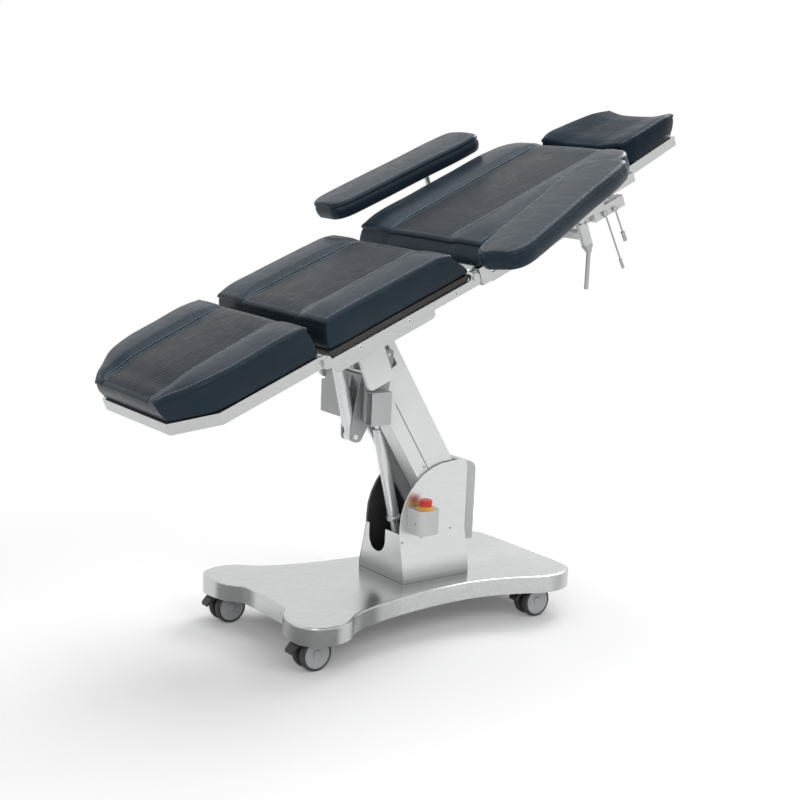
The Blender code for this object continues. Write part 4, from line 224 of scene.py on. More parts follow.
# Casters: each point of a wheel's back and front is (radius, depth into the wheel, part)
TYRE, HUB, RIM = 0, 1, 2
WHEEL_RADIUS = 0.050
WHEEL_INNER = 0.0085
WHEEL_OUTER = 0.030
TYRE_CROWN = 0.0045
TYRE_STEPS = 6
WHEEL_BACK = ((0.0, 0.0, RIM), (0.036, 0.0, RIM), (0.041, 0.0015, TYRE))
HUB_RADIUS = 0.0405
HUB_GAP = 0.0008
WHEEL_FRONT = (
    (0.0430, 0.0, TYRE), (0.0422, 0.0014, RIM), (HUB_RADIUS + HUB_GAP, 0.0014, RIM),
    (HUB_RADIUS, 0.0004, HUB), (0.0380, 0.0, HUB), (0.0300, 0.0012, HUB), (0.0160, 0.0022, HUB),
    (0.0135, 0.0022, RIM), (0.0130, 0.0008, HUB), (0.0095, 0.0002, HUB), (0.0, 0.0002, HUB),
)
AXLE_RADIUS = 0.0058
AXLE_SIDES = 24

# Emergency stop: the button's outside is (radius, depth below its top), from under its cap to its middle
STOP_STEM_RADIUS = 0.0068
STOP_CAP = (
    (STOP_STEM_RADIUS, 0.0100), (0.0183, 0.0100), (0.0183, 0.0188), (0.0192, 0.0190), (0.0197, 0.0184),
    (0.0197, 0.0118), (0.0190, 0.0110), (0.0190, 0.0102), (0.0200, 0.0092), (0.0200, 0.0035),
    (0.0192, 0.0015), (0.0175, 0.0003), (0.0150, 0.0), (0.0110, 0.0006), (0.0, 0.0010),
)
COLLAR_BORE = 0.0075
COLLAR_PLATE = 0.0290
COLLAR_PLATE_HEIGHT = 0.0025
COLLAR_PLATE_EDGE = 0.0007
COLLAR_RING = 0.0180
COLLAR_RING_EDGE = 0.0010

# Screws: name, body, place, outward direction and head radius. The far rail's mirror the near one's.
MIDDLE_Y = 0.0664
SCREW_HEIGHT = 0.0012
SCREW_SIDE_SHARE = 0.6
SCREW_CROWN_SHARE = 0.85
SCREW_RECESS_SHARE = 0.45
SCREW_FLOOR_SHARE = 0.3
SCREW_STEPS = 24
BAR_SCREWS = ((-0.3838, 0.9246), (-0.2209, 0.9873), (-0.0584, 1.0552))
BAR_FACE_REACH = 0.2920
BAR_SCREW_RADIUS = 0.0055
SCREWS = (
    ("lift_arm_screw", "lift_arm", (0.0216, -0.0136, 0.4967), (0.0, -1.0, 0.0), 0.0036),
    ("cheek_head_screw", "base", (0.1297, -0.0216, 0.2924), (0.0, -1.0, 0.0), 0.0034),
    ("cheek_foot_screw", "base", (-0.0582, -0.0256, 0.2715), (0.0, -0.977, 0.213), 0.0034),
    ("lift_collar_screw", "lift_tube", (-0.0148, 0.0759, 0.3090), (-0.539, -0.831, -0.135), 0.0034),
    ("stop_housing_screw", "base", (-0.0383, -0.0606, 0.3363), (-0.981, -0.195, 0.0), 0.0030),
)

# The dark joint along each side of the lift arm's cover: x and z of its ends, and its reach from the middle
ARM_SEAM_ENDS = ((-0.0956, 0.7013), (0.0391, 0.4880))
ARM_SEAM_REACH = 0.0800
ARM_SEAM_WIDTH = 0.0022
ARM_SEAM_HEIGHT = 0.0005

# Floor, surround and lamps. Each lamp is name, place, target, width, height and power in watts.
FLOOR_HALF = 30.0
FLOOR_COLOUR = (0.90, 0.90, 0.90)
FLOOR_ROUGHNESS = 0.9
FLOOR_GLOW = 0.12
FLOOR_WHITE_START = 0.9
FLOOR_WHITE_END = 2.4
WORLD_LIGHT = 0.42
WORLD_SIDE = (0.42, 0.42, 0.43)
WORLD_TOP = (0.95, 0.95, 0.95)
WORLD_TOP_START = 0.75
WHITE = (1.0, 1.0, 1.0, 1.0)
LAMPS = (
    ("top", (0.2, 0.8, 5.8), (0.0, 0.0, 0.6), 4.0, 3.6, 105.0),
    ("head", (4.2, 1.6, 4.8), (0.0, 0.0, 0.7), 2.8, 2.8, 165.0),
    ("fill", (-4.0, -3.4, 3.0), (0.0, 0.0, 0.7), 3.2, 2.8, 75.0),
    ("side", (0.4, -4.4, 4.0), (0.0, 0.0, 0.7), 3.2, 2.4, 60.0),
)


def section_frame(origin, x_axis):
    """The frame of a section: its x axis as given, its y axis level across the table."""
    x_axis = x_axis.normalized()
    y_axis = Vector((0.0, 1.0, 0.0))
    z_axis = x_axis.cross(y_axis).normalized()
    return frame_matrix(origin, x_axis, y_axis, z_axis)


def frame_matrix(origin, x_axis, y_axis, z_axis):
    matrix = Matrix((x_axis, y_axis, z_axis)).transposed().to_4x4()
    matrix.translation = origin
    return matrix


def joint_place(name):
    return Vector(JOINTS[name]["pos_m"])


def joint_axis(name):
    return Vector(JOINTS[name]["axis"]).normalized()


def arm_pad_frame(side_name, turn):
    """The frame of an arm pad: z along its post, x towards the head end, turned about the post."""
    z_axis = joint_axis(f"armrest_{side_name}_swing")
    x_axis = Vector((z_axis.z, 0.0, -z_axis.x))
    matrix = frame_matrix(joint_place(f"armrest_{side_name}_swing"), x_axis, Vector((0.0, 1.0, 0.0)), z_axis)
    return matrix @ Matrix.Rotation(turn, 4, "Z")


SEAT_FRAME = section_frame(joint_place("leg_tilt"), joint_place("back_tilt") - joint_place("leg_tilt"))
BACK_FRAME = section_frame(joint_place("back_tilt"), joint_axis("headrest_slide"))
HEADREST_FRAME = section_frame(
    joint_place("headrest_tilt"), Matrix.Rotation(HEADREST_LEAN, 3, "Y") @ joint_axis("headrest_slide")
)
NEAR_PAD_FRAME = arm_pad_frame("near", NEAR_ARM_SWING)
FAR_PAD_FRAME = arm_pad_frame("far", 0.0)


def new_material(name, colour, roughness, metallic=0.0):
    """A material, its node tree and its shader, with the plain values that the export keeps."""
    material = bpy.data.materials.new(name)
    material.use_nodes = True
    tree = material.node_tree
    shader = tree.nodes["Principled BSDF"]
    shader.inputs["Base Color"].default_value = (*colour, 1.0)
    shader.inputs["Roughness"].default_value = roughness
    shader.inputs["Metallic"].default_value = metallic
    return material, tree, shader


def object_coordinates(tree, scale=(1.0, 1.0, 1.0)):
    """The object's own coordinates, stretched by a scale."""
    source = tree.nodes.new("ShaderNodeTexCoord")
    mapping = tree.nodes.new("ShaderNodeMapping")
    mapping.inputs["Scale"].default_value = scale
    tree.links.new(source.outputs["Object"], mapping.inputs["Vector"])
    return mapping.outputs["Vector"]


def noise_value(tree, vector, scale, detail, roughness=0.5):
    texture = tree.nodes.new("ShaderNodeTexNoise")
    texture.inputs["Scale"].default_value = scale
    texture.inputs["Detail"].default_value = detail
    texture.inputs["Roughness"].default_value = roughness
    tree.links.new(vector, texture.inputs["Vector"])
    return texture.outputs["Fac"]


def spread(tree, value, low, high):
    """The usual range of a noise, mapped to low to high."""
    ranged = tree.nodes.new("ShaderNodeMapRange")
    ranged.inputs["From Min"].default_value = NOISE_RANGE[0]
    ranged.inputs["From Max"].default_value = NOISE_RANGE[1]
    ranged.inputs["To Min"].default_value = low
    ranged.inputs["To Max"].default_value = high
    tree.links.new(value, ranged.inputs["Value"])
    return ranged.outputs["Result"]


def two_colours(tree, value, first, second, places=NOISE_RANGE):
    """A colour between two, which stand at the given places of a value's range."""
    ramp = tree.nodes.new("ShaderNodeValToRGB")
    for element, place, colour in zip(ramp.color_ramp.elements, places, (first, second)):
        element.position = place
        element.color = (*colour, 1.0)
    tree.links.new(value, ramp.inputs["Fac"])
    return ramp.outputs["Color"]


def scaled(tree, value, low, high, first=0.0, last=1.0):
    """A value's range from first to last, mapped smoothly to low to high."""
    ranged = tree.nodes.new("ShaderNodeMapRange")
    ranged.interpolation_type = "SMOOTHSTEP"
    ranged.inputs["From Min"].default_value = first
    ranged.inputs["From Max"].default_value = last
    ranged.inputs["To Min"].default_value = low
    ranged.inputs["To Max"].default_value = high
    tree.links.new(value, ranged.inputs["Value"])
    return ranged.outputs["Result"]


def product(tree, first, second, number=1.0):
    """One value times another, or times a number where there is no other."""
    node = tree.nodes.new("ShaderNodeMath")
    node.operation = "MULTIPLY"
    tree.links.new(first, node.inputs[0])
    if second is None:
        node.inputs[1].default_value = number
    else:
        tree.links.new(second, node.inputs[1])
    return node.outputs["Value"]


def shade_colour(tree, share, colour, socket):
    """A colour times a share, into a shader's socket."""
    mix = tree.nodes.new("ShaderNodeMix")
    mix.data_type = "RGBA"
    mix.blend_type = "MULTIPLY"
    mix.inputs[MIX_FACTOR].default_value = 1.0
    tree.links.new(colour, mix.inputs[MIX_COLOURS[0]])
    tree.links.new(share, mix.inputs[MIX_COLOURS[1]])
    tree.links.new(mix.outputs[MIX_COLOUR], socket)


def height_value(tree):
    """The height above the floor, for a solid whose coordinates start there."""
    source = tree.nodes.new("ShaderNodeTexCoord")
    split = tree.nodes.new("ShaderNodeSeparateXYZ")
    tree.links.new(source.outputs["Object"], split.inputs["Vector"])
    return split.outputs["Z"]


def skirt_painted_reflections(tree):
    """Painted reflections: upright darker bands painted round the base's polished skirt, and none on its top.
    """
    bands = noise_value(tree, object_coordinates(tree, (1.0, 1.0, 0.0)), *SKIRT_REFLECTION_BANDS)
    bands = scaled(tree, bands, SKIRT_REFLECTION_SHADE, 1.0, *SKIRT_REFLECTION_RANGE)
    above = scaled(tree, height_value(tree), 0.0, 1.0, *SKIRT_FADE)
    mix = tree.nodes.new("ShaderNodeMix")
    tree.links.new(above, mix.inputs[MIX_FACTOR])
    tree.links.new(bands, mix.inputs[MIX_NUMBERS[0]])
    mix.inputs[MIX_NUMBERS[1]].default_value = 1.0
    return mix.outputs[MIX_NUMBER]


def flare_painted_reflection(tree):
    """A painted reflection: the darker band painted over the flare at the pedestal's foot."""
    return scaled(tree, height_value(tree), FLARE_REFLECTION_SHADE, 1.0, FLARE_DARK_HEIGHT, FLARE_LIGHT_HEIGHT)


def add_bump(tree, shader, height, strength, distance, below=None):
    """A bump from a height, on top of an earlier one."""
    bump = tree.nodes.new("ShaderNodeBump")
    bump.inputs["Strength"].default_value = strength
    bump.inputs["Distance"].default_value = distance
    tree.links.new(height, bump.inputs["Height"])
    if below is not None:
        tree.links.new(below, bump.inputs["Normal"])
    tree.links.new(bump.outputs["Normal"], shader.inputs["Normal"])
    return bump.outputs["Normal"]


def attribute_value(tree, name):
    node = tree.nodes.new("ShaderNodeAttribute")
    node.attribute_name = name
    return node.outputs["Fac"]


def leather(name, sheen):
    """Dark slate coated leather with a fine grain, ribbed across its panels, and with painted shade darkening
    its walls.
    """
    material, tree, shader = new_material(name, LEATHER_PLAIN, sum(LEATHER_ROUGHNESS) / 2)
    plain = object_coordinates(tree)
    ribs = tree.nodes.new("ShaderNodeTexWave")
    ribs.bands_direction = "X"
    ribs.inputs["Scale"].default_value = math.tau / (WAVE_RATE * RIB_PITCH)
    ribs.inputs["Distortion"].default_value = RIB_WANDER
    ribs.inputs["Detail Scale"].default_value = RIB_WANDER_SCALE
    tree.links.new(plain, ribs.inputs["Vector"])
    ribbed = product(tree, attribute_value(tree, "panel"), scaled(tree, ribs.outputs["Fac"], RIB_FOOT, 1.0))
    rib_shade = scaled(tree, ribbed, 1.0, PANEL_SHADE)
    # Painted shade: the colour of the pad's walls is darkened
    wall_painted_shade = scaled(tree, attribute_value(tree, "wall"), 1.0, WALL_PAINTED_SHADE)
    clouds = two_colours(tree, noise_value(tree, plain, *LEATHER_CLOUDS), *LEATHER_COLOURS)
    shade_colour(tree, product(tree, rib_shade, wall_painted_shade), clouds, shader.inputs["Base Color"])
    smears = noise_value(tree, plain, *LEATHER_SMEARS)
    tree.links.new(spread(tree, smears, *LEATHER_ROUGHNESS), shader.inputs["Roughness"])
    duller = scaled(tree, attribute_value(tree, "panel"), sheen, sheen * PANEL_SHEEN_SHARE)
    tree.links.new(duller, shader.inputs["Specular IOR Level"])
    shader.inputs["Specular Tint"].default_value = LEATHER_TINT
    grain = tree.nodes.new("ShaderNodeTexVoronoi")
    grain.feature = "DISTANCE_TO_EDGE"
    grain.inputs["Scale"].default_value = GRAIN_SCALE
    tree.links.new(plain, grain.inputs["Vector"])
    fine = add_bump(tree, shader, grain.outputs["Distance"], *GRAIN_BUMP)
    folds = add_bump(tree, shader, noise_value(tree, plain, *LEATHER_FOLDS), *FOLD_BUMP, fine)
    add_bump(tree, shader, ribbed, *RIB_BUMP, folds)
    return material


def thread():
    """The stitches' pale twisted thread."""
    material, tree, shader = new_material("stitch_thread", THREAD_PLAIN, THREAD_ROUGHNESS)
    twist = noise_value(tree, object_coordinates(tree), *THREAD_TWIST)
    tree.links.new(two_colours(tree, twist, *THREAD_COLOURS), shader.inputs["Base Color"])
    add_bump(tree, shader, twist, *THREAD_BUMP)
    return material


def brushed(name, dark, light, low, high, grain_scale, streak, shade=None):
    """Brushed stainless steel: fine streaks in its colour and its relief, and smears in its roughness."""
    material, tree, shader = new_material(name, light, (low + high) / 2, 1.0)
    lines = noise_value(tree, object_coordinates(tree, streak), grain_scale, BRUSH_DETAIL, BRUSH_FINENESS)
    colour = two_colours(tree, lines, dark, light)
    # A shade given here is painted: darker bands in the steel's colour standing in for reflections
    if shade:
        shade_colour(tree, shade(tree), colour, shader.inputs["Base Color"])
    else:
        tree.links.new(colour, shader.inputs["Base Color"])
    smears = noise_value(tree, object_coordinates(tree), *BRUSH_SMEARS)
    tree.links.new(spread(tree, smears, low, high), shader.inputs["Roughness"])
    shader.inputs["Anisotropic"].default_value = BRUSH_ANISOTROPY
    add_bump(tree, shader, lines, *BRUSH_BUMP)
    return material


def coated(name, first, second, low, high, grain_scale, strength, metallic=0.0):
    """Paint or moulded plastic: an even colour with slight clouding and a fine texture."""
    material, tree, shader = new_material(name, first, (low + high) / 2, metallic)
    plain = object_coordinates(tree)
    clouds = noise_value(tree, plain, *COAT_CLOUDS)
    tree.links.new(two_colours(tree, clouds, first, second), shader.inputs["Base Color"])
    smears = noise_value(tree, plain, *COAT_SMEARS)
    tree.links.new(spread(tree, smears, low, high), shader.inputs["Roughness"])
    add_bump(tree, shader, noise_value(tree, plain, grain_scale, COAT_DETAIL), strength, COAT_DEPTH)
    return material


LEATHER = leather("pad_leather", PAD_SHEEN)
HEADREST_LEATHER = leather("headrest_leather", HEADREST_SHEEN)
THREAD = thread()

# Brushed finishes: darker and lighter colour, least and most roughness, and the streaks' scale and stretch
STEEL_ALONG = brushed(
    "brushed_steel", (0.50, 0.51, 0.51), (0.60, 0.61, 0.61), 0.26, 0.38, 60.0, (0.6, 14.0, 14.0)
)
# Painted reflections: darker upright bands in the colour of the base cover's skirt
STEEL_COVER = brushed(
    "base_cover_steel", (0.50, 0.51, 0.51), (0.61, 0.62, 0.62), 0.17, 0.27, 45.0, (0.5, 12.0, 4.0),
    skirt_painted_reflections,
)
# Painted reflection: a darker band in the colour of the pedestal's steel over its flare
STEEL_CHEEK = brushed(
    "pedestal_steel", (0.64, 0.65, 0.65), (0.71, 0.72, 0.72), 0.30, 0.40, 45.0, (0.5, 6.0, 12.0),
    flare_painted_reflection,
)
STEEL_LEVER = brushed(
    "lever_steel", (0.36, 0.365, 0.37), (0.46, 0.465, 0.47), 0.24, 0.34, 60.0, (10.0, 10.0, 1.0)
)
STEEL_BRIGHT = brushed(
    "polished_steel", (0.62, 0.63, 0.64), (0.74, 0.75, 0.76), 0.14, 0.22, 60.0, (10.0, 10.0, 1.0)
)

# Coated finishes: two colours, least and most roughness, the texture's scale and strength, and any metal
SATIN_GREY = coated("satin_grey", (0.74, 0.75, 0.75), (0.78, 0.79, 0.79), 0.30, 0.38, 260.0, 0.05, 0.35)
SILVER = coated("silver_tube", (0.74, 0.75, 0.76), (0.78, 0.79, 0.80), 0.24, 0.28, 60.0, 0.004, 0.5)
COVER_GREY = coated(
    "head_cover_grey", (0.44, 0.445, 0.45), (0.49, 0.495, 0.50), 0.32, 0.42, 260.0, 0.05, 0.2
)
HOUSING_GREY = coated(
    "stop_housing_grey", (0.52, 0.53, 0.53), (0.57, 0.58, 0.58), 0.28, 0.36, 260.0, 0.05, 0.4
)
HEAD_GREY = coated("head_grey", (0.30, 0.305, 0.31), (0.36, 0.365, 0.37), 0.34, 0.46, 240.0, 0.08, 0.3)
DARK_STEEL = coated("dark_steel", (0.035, 0.035, 0.038), (0.055, 0.055, 0.058), 0.34, 0.48, 220.0, 0.10, 0.4)
BOX_GREY = coated("control_box_grey", (0.52, 0.53, 0.53), (0.56, 0.57, 0.57), 0.40, 0.50, 420.0, 0.14)
BLACK = coated("black_plastic", (0.018, 0.018, 0.018), (0.030, 0.030, 0.030), 0.42, 0.55, 500.0, 0.16)
RUBBER = coated("caster_rubber", (0.030, 0.030, 0.032), (0.048, 0.048, 0.050), 0.55, 0.70, 300.0, 0.20)
CASTER_GREY = coated("caster_grey", (0.40, 0.41, 0.42), (0.45, 0.46, 0.47), 0.38, 0.50, 420.0, 0.14)
CASTER_DARK = coated("caster_dark", (0.045, 0.046, 0.050), (0.070, 0.071, 0.075), 0.38, 0.50, 420.0, 0.14)
STOP_RED = coated("stop_red", (0.62, 0.012, 0.010), (0.68, 0.018, 0.014), 0.22, 0.30, 300.0, 0.05)
STOP_YELLOW = coated("stop_yellow", (0.83, 0.42, 0.02), (0.88, 0.48, 0.04), 0.34, 0.42, 300.0, 0.08)

# The finish of each carried-over solid whose name doesn't tell its kind
FINISHES = {
    "base_cover": STEEL_COVER,
    "pedestal_cheek_near": STEEL_CHEEK,
    "pedestal_cheek_far": STEEL_CHEEK,
    "pedestal_foot_panel": STEEL_CHEEK,
    "estop_housing": HOUSING_GREY,
    "lift_arm": SATIN_GREY,
    "lift_arm_cover": SATIN_GREY,
    "level_head_cover_near": COVER_GREY,
    "tilt_yoke_near": SATIN_GREY,
    "tilt_yoke_far": SATIN_GREY,
    "level_head_cover_far": COVER_GREY,
    "chassis": DARK_STEEL,
    "level_head": HEAD_GREY,
    "control_box": BOX_GREY,
    "seat_board": BLACK,
    "armrest_near_clamp": STEEL_ALONG,
    "armrest_far_clamp": STEEL_ALONG,
    "lift_tube": SILVER,
    "lift_rod": STEEL_BRIGHT,
    "tilt_tube": SILVER,
    "tilt_rod": STEEL_BRIGHT,
    "headrest_bars": STEEL_BRIGHT,
}


def finish_of(name):
    """A solid's finish, from the list above or from the kind in its name."""
    if name in FINISHES:
        return FINISHES[name]
    if name.endswith("_housing"):
        return CASTER_DARK
    if name.endswith("_pedal"):
        return BLACK
    if name.endswith("_handle") or "_lever_" in name:
        return STEEL_LEVER
    return STEEL_ALONG


def dress_solid(name, node):
    """A solid's finish, smooth round faces and slightly worn edges. Its own vertices stay as they are."""
    node.data.materials.clear()
    node.data.materials.append(finish_of(name))
    for attribute in ("custom_normal", "sharp_edge", "sharp_face"):
        if attribute in node.data.attributes:
            node.data.attributes.remove(node.data.attributes[attribute])
    for polygon in node.data.polygons:
        polygon.use_smooth = True
        polygon.material_index = 0
    weld = node.modifiers.new("weld", "WELD")
    weld.merge_threshold = WELD_DISTANCE
    bevel = node.modifiers.new("edges", "BEVEL")
    bevel.width = CASTER_EDGE_WIDTH if name.startswith("caster_") else EDGE_WIDTH
    bevel.segments = EDGE_SEGMENTS
    bevel.limit_method = "ANGLE"
    bevel.angle_limit = SMOOTH_LIMIT
    node.modifiers.new("flat faces", "WEIGHTED_NORMAL")


def add_piece(name, mesh, matrix, body, materials, smooth=True):
    """A new piece of the object, placed by a matrix, that moves with a body."""
    piece = bpy.data.objects.new(name, mesh)
    bpy.context.scene.collection.objects.link(piece)
    piece.matrix_world = matrix
    for material in materials:
        mesh.materials.append(material)
    for polygon in mesh.polygons:
        polygon.use_smooth = smooth
    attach(piece, body)
    return piece


def mesh_of(name, points, faces, face_materials=None):
    """A mesh with its faces turned outwards."""
    mesh = bpy.data.meshes.new(name)
    mesh.from_pydata(points, [], faces)
    if face_materials:
        mesh.polygons.foreach_set("material_index", face_materials)
    shape = bmesh.new()
    shape.from_mesh(mesh)
    bmesh.ops.recalc_face_normals(shape, faces=shape.faces)
    shape.to_mesh(mesh)
    shape.free()
    return mesh


def station_at(stations, along):
    """A pad's five sizes at a place between its stations, on a smooth curve through them."""
    last = len(stations) - 1
    index = min(int(along), last - 1)
    part = along - index
    start, end = stations[index], stations[index + 1]
    before = stations[index - 1] if index else [2 * near - far for near, far in zip(start, end)]
    after = stations[index + 2] if index + 2 <= last else [2 * near - far for near, far in zip(end, start)]
    pairs = ((before, start), (start, end), (end, after))
    spans = [math.dist(first[:2], second[:2]) for first, second in pairs]
    sizes = []
    for first, second, third, fourth in zip(before, start, end, after):
        slope = (third - second) / spans[1]
        leave = spans[1] * ((second - first) / spans[0] - (third - first) / (spans[0] + spans[1]) + slope)
        arrive = spans[1] * (slope - (fourth - second) / (spans[1] + spans[2]) + (fourth - third) / spans[2])
        bend = 3 * (third - second) - 2 * leave - arrive
        twist = 2 * (second - third) + leave + arrive
        sizes.append(second + leave * part + bend * part ** 2 + twist * part ** 3)
    return sizes


def places_along(stations, step):
    """Places between the stations, about a step apart on the pad."""
    places = [0.0]
    for index in range(len(stations) - 1):
        length = math.dist(stations[index][:2], stations[index + 1][:2])
        count = max(2, math.ceil(length / step))
        places += [index + (number + 1) / count for number in range(count)]
    return places


Row = collections.namedtuple("Row", "top_x half low_x low_half top notch fade")


def smooth_step(value):
    value = min(max(value, 0.0), 1.0)
    return value * value * (3 - 2 * value)


class Pad:
    """The shape of a pad: its outline from stations, a dished or crowned top, sewn channels, soft rims."""

    def __init__(self, stations, low, dish=0.0, panel=None, notch=0.0, crown=0.0, sewn=True, roll=PANEL_ROLL):
        self.stations = stations
        self.low = low
        self.dish = dish
        self.panel = panel
        self.notch = notch
        self.crown = crown
        self.sewn = sewn
        self.roll = roll
        self.middle = (stations[0][0] + stations[-1][0]) / 2
        self.reach = (stations[-1][0] - stations[0][0]) / 2
        self.widest = max(station[1] for station in stations)
        self.rows = [self.row(along) for along in places_along(stations, ROW_STEP)]

    def row(self, along):
        """The sizes of one row across the pad, with the share of the dish that is left near the ends."""
        top_x, half, low_x, low_half, top = station_at(self.stations, along)
        from_last = len(self.stations) - 1 - along
        notch = self.notch * max(0.0, 1 - from_last / NOTCH_STATIONS)
        to_end = min(abs(top_x - self.stations[0][0]), abs(self.stations[-1][0] - top_x))
        fade = END_DISH_SHARE + (1 - END_DISH_SHARE) * smooth_step(to_end / END_FADE) if self.sewn else 1.0
        return Row(top_x, half, low_x, low_half, top, notch, fade)

    def seam(self, half):
        """How far from the middle a channel is, where the pad's half width is as given."""
        return min(self.panel, half * PANEL_LIMIT_SHARE)

    def across(self, half):
        """The places across the pad's top, closer together at the sewn channels."""
        if self.panel:
            seam = self.seam(half)
            inner, outer = seam - SEAM_HALF_WIDTH, seam + SEAM_HALF_WIDTH
            inner_count = math.ceil(self.panel / ROW_STEP)
            outer_count = math.ceil((self.widest - self.panel) / ROW_STEP)
            places = [inner * number / inner_count for number in range(inner_count)]
            steps = range(-SEAM_STEPS, SEAM_STEPS + 1)
            places += [seam + SEAM_HALF_WIDTH * number / SEAM_STEPS for number in steps]
            places += [outer + (half - outer) * (number + 1) / outer_count for number in range(outer_count)]
        else:
            count = math.ceil(self.widest / ROW_STEP)
            places = [half * number / count for number in range(count + 1)]
        return [-place for place in reversed(places[1:])] + places

    def pull(self, x, y, distance):
        """A place drawn in towards the middle of the pad."""
        x -= distance * (x - self.middle) / self.reach
        return x, y * (1 - distance / self.widest)

    def height(self, row, y):
        """The height of the top: its dish, its crowned panel and bolsters, and the channel between them."""
        reach = abs(y)
        if not self.panel:
            return row.top + self.crown * (math.cos(math.pi / 2 * reach / row.half) - 1)
        seam = self.seam(row.half)
        level = row.top - self.dish * row.fade * (1 - smooth_step((reach - seam) / self.roll))
        if not self.sewn:
            return level
        if reach < seam:
            level += PANEL_CROWN * row.fade * (math.cos(math.pi / 2 * reach / seam) - PANEL_CROWN_SUNK)
        else:
            level += BOLSTER_CROWN * row.fade * math.sin(math.pi * (reach - seam) / (row.half - seam))
        return level - SEAM_DEPTH * row.fade * math.exp(-(((reach - seam) / SEAM_SHARPNESS) ** 2))

    def edge_x(self, row, y):
        return row.top_x - row.notch * (1 - (y / row.half) ** 2)

    def top_point(self, row, y):
        x, drawn_y = self.pull(self.edge_x(row, y), y, RIM_RADIUS)
        return Vector((x, drawn_y, self.height(row, y)))

    def rim_loops(self):
        """Each loop of the rim, the wall and the tuck below: (drawn in, drop, level), from the top down."""
        loops = []
        for number in range(1, RIM_STEPS + 1):
            turn = math.pi / 2 * number / RIM_STEPS
            loops.append((RIM_RADIUS * (1 - math.sin(turn)), RIM_RADIUS * (1 - math.cos(turn)), 1.0))
        loops += [(SIDE_DRAW_IN, RIM_RADIUS + drop, 1.0) for drop in CREASE_DROPS]
        for number in range(1, WALL_STEPS):
            level = 1 - number / WALL_STEPS
            loops.append((SIDE_DRAW_IN * (1 - math.sin(math.pi * level) ** SIDE_FULLNESS), 0.0, level))
        for number in range(TUCK_STEPS + 1):
            turn = math.pi / 2 * number / TUCK_STEPS
            drawn_in = SIDE_DRAW_IN + (LOW_TUCK - SIDE_DRAW_IN) * (1 - math.cos(turn))
            loops.append((drawn_in, LOW_RIM_HEIGHT * math.sin(turn), 0.0))
        return loops

    def rim_point(self, row, y, drawn_in, drop, level):
        """A point of the side: below the top's edge at level 1, at the foot at level 0, else between them."""
        x = row.low_x + (self.edge_x(row, y) - row.low_x) * level
        wide = y * (row.low_half + (row.half - row.low_half) * level) / row.half
        x, wide = self.pull(x, wide, drawn_in)
        edge, foot = self.height(row, y), self.low + LOW_RIM_HEIGHT
        if level == 1.0:
            return Vector((x, wide, edge - drop))
        band = edge - RIM_RADIUS - CREASE_DROPS[-1]
        return Vector((x, wide, foot + (band - foot) * level - drop))

    def top_points(self):
        """The points of the top, row by row, and how much of the ribbed panel each of them has."""
        points, panel = [], []
        for number, row in enumerate(self.rows):
            for y in self.across(row.half):
                point = self.top_point(row, y)
                point.z += PUCKER * noise.noise(Vector((point.x, point.y, self.low)) * PUCKER_SCALE)
                points.append(point)
                inside = bool(self.panel) and self.sewn and abs(y) < self.seam(row.half) - SEAM_HALF_WIDTH
                panel.append(1.0 if inside and 0 < number < len(self.rows) - 1 else 0.0)
        return points, panel

    def mesh(self, name):
        """The closed pad, with its top's panel and its wall marked for the leather."""
        points, panel = self.top_points()
        rows, count = len(self.rows), len(self.across(1.0))
        corners = [row * count + column for row in range(rows - 1) for column in range(count - 1)]
        faces = [(corner, corner + 1, corner + count + 1, corner + count) for corner in corners]
        ring = [(0, column) for column in range(count)] + [(row, count - 1) for row in range(1, rows)]
        ring += [(rows - 1, column) for column in range(count - 2, -1, -1)]
        ring += [(row, 0) for row in range(rows - 2, 0, -1)]
        edge = [(self.rows[row], self.across(self.rows[row].half)[column]) for row, column in ring]
        before = [row * count + column for row, column in ring]
        for loop_sizes in self.rim_loops():
            loop = [len(points) + number for number in range(len(edge))]
            points += [self.rim_point(row, y, *loop_sizes) for row, y in edge]
            faces += zip(before, before[1:] + before[:1], loop[1:] + loop[:1], loop)
            before = loop
        faces.append(tuple(before))
        wall = [0.0] * len(panel) + [1.0] * (len(points) - len(panel))
        panel += [0.0] * (len(points) - len(panel))
        mesh = mesh_of(name, points, faces)
        mesh.attributes.new("panel", "FLOAT", "POINT").data.foreach_set("value", panel)
        mesh.attributes.new("wall", "FLOAT", "POINT").data.foreach_set("value", wall)
        return mesh

    def seam_lines(self):
        """The lines of stitches: beside the sewn channels and along the sides, or round a plain pad's top."""
        if self.panel:
            offsets = (-STITCH_ROW_OFFSET, STITCH_ROW_OFFSET) if self.sewn else ()
            lines = [
                [self.top_point(row, side * (self.seam(row.half) + offset)) for row in self.rows[1:-1]]
                for side in (-1, 1) for offset in offsets
            ]
            return lines + [[self.top_point(row, side * row.half) for row in self.rows] for side in (-1, 1)]
        line = [self.top_point(row, row.half) for row in self.rows]
        line += [self.top_point(row, -row.half) for row in reversed(self.rows)]
        return [line + [line[0]]]


def add_stitch(points, faces, middle, along):
    """One raised stitch: rings of points about its line, the faces between them and its two ends."""
    side = along.cross(Vector((0.0, 0.0, 1.0))).normalized()
    up = side.cross(along).normalized()
    first = len(points)
    for place, share in STITCH_RINGS:
        for corner in range(STITCH_SIDES):
            turn = math.tau * corner / STITCH_SIDES
            spoke = side * math.cos(turn) + up * (STITCH_FLATNESS * math.sin(turn) + STITCH_LIFT)
            points.append(middle + along * (place * STITCH_LENGTH) + spoke * (STITCH_RADIUS * share))
    last = first + (len(STITCH_RINGS) - 1) * STITCH_SIDES
    for ring in range(first, last, STITCH_SIDES):
        for corner in range(STITCH_SIDES):
            near, beside = ring + corner, ring + (corner + 1) % STITCH_SIDES
            faces.append((near, beside, beside + STITCH_SIDES, near + STITCH_SIDES))
    faces.append(tuple(range(first, first + STITCH_SIDES)))
    faces.append(tuple(range(last, last + STITCH_SIDES)))


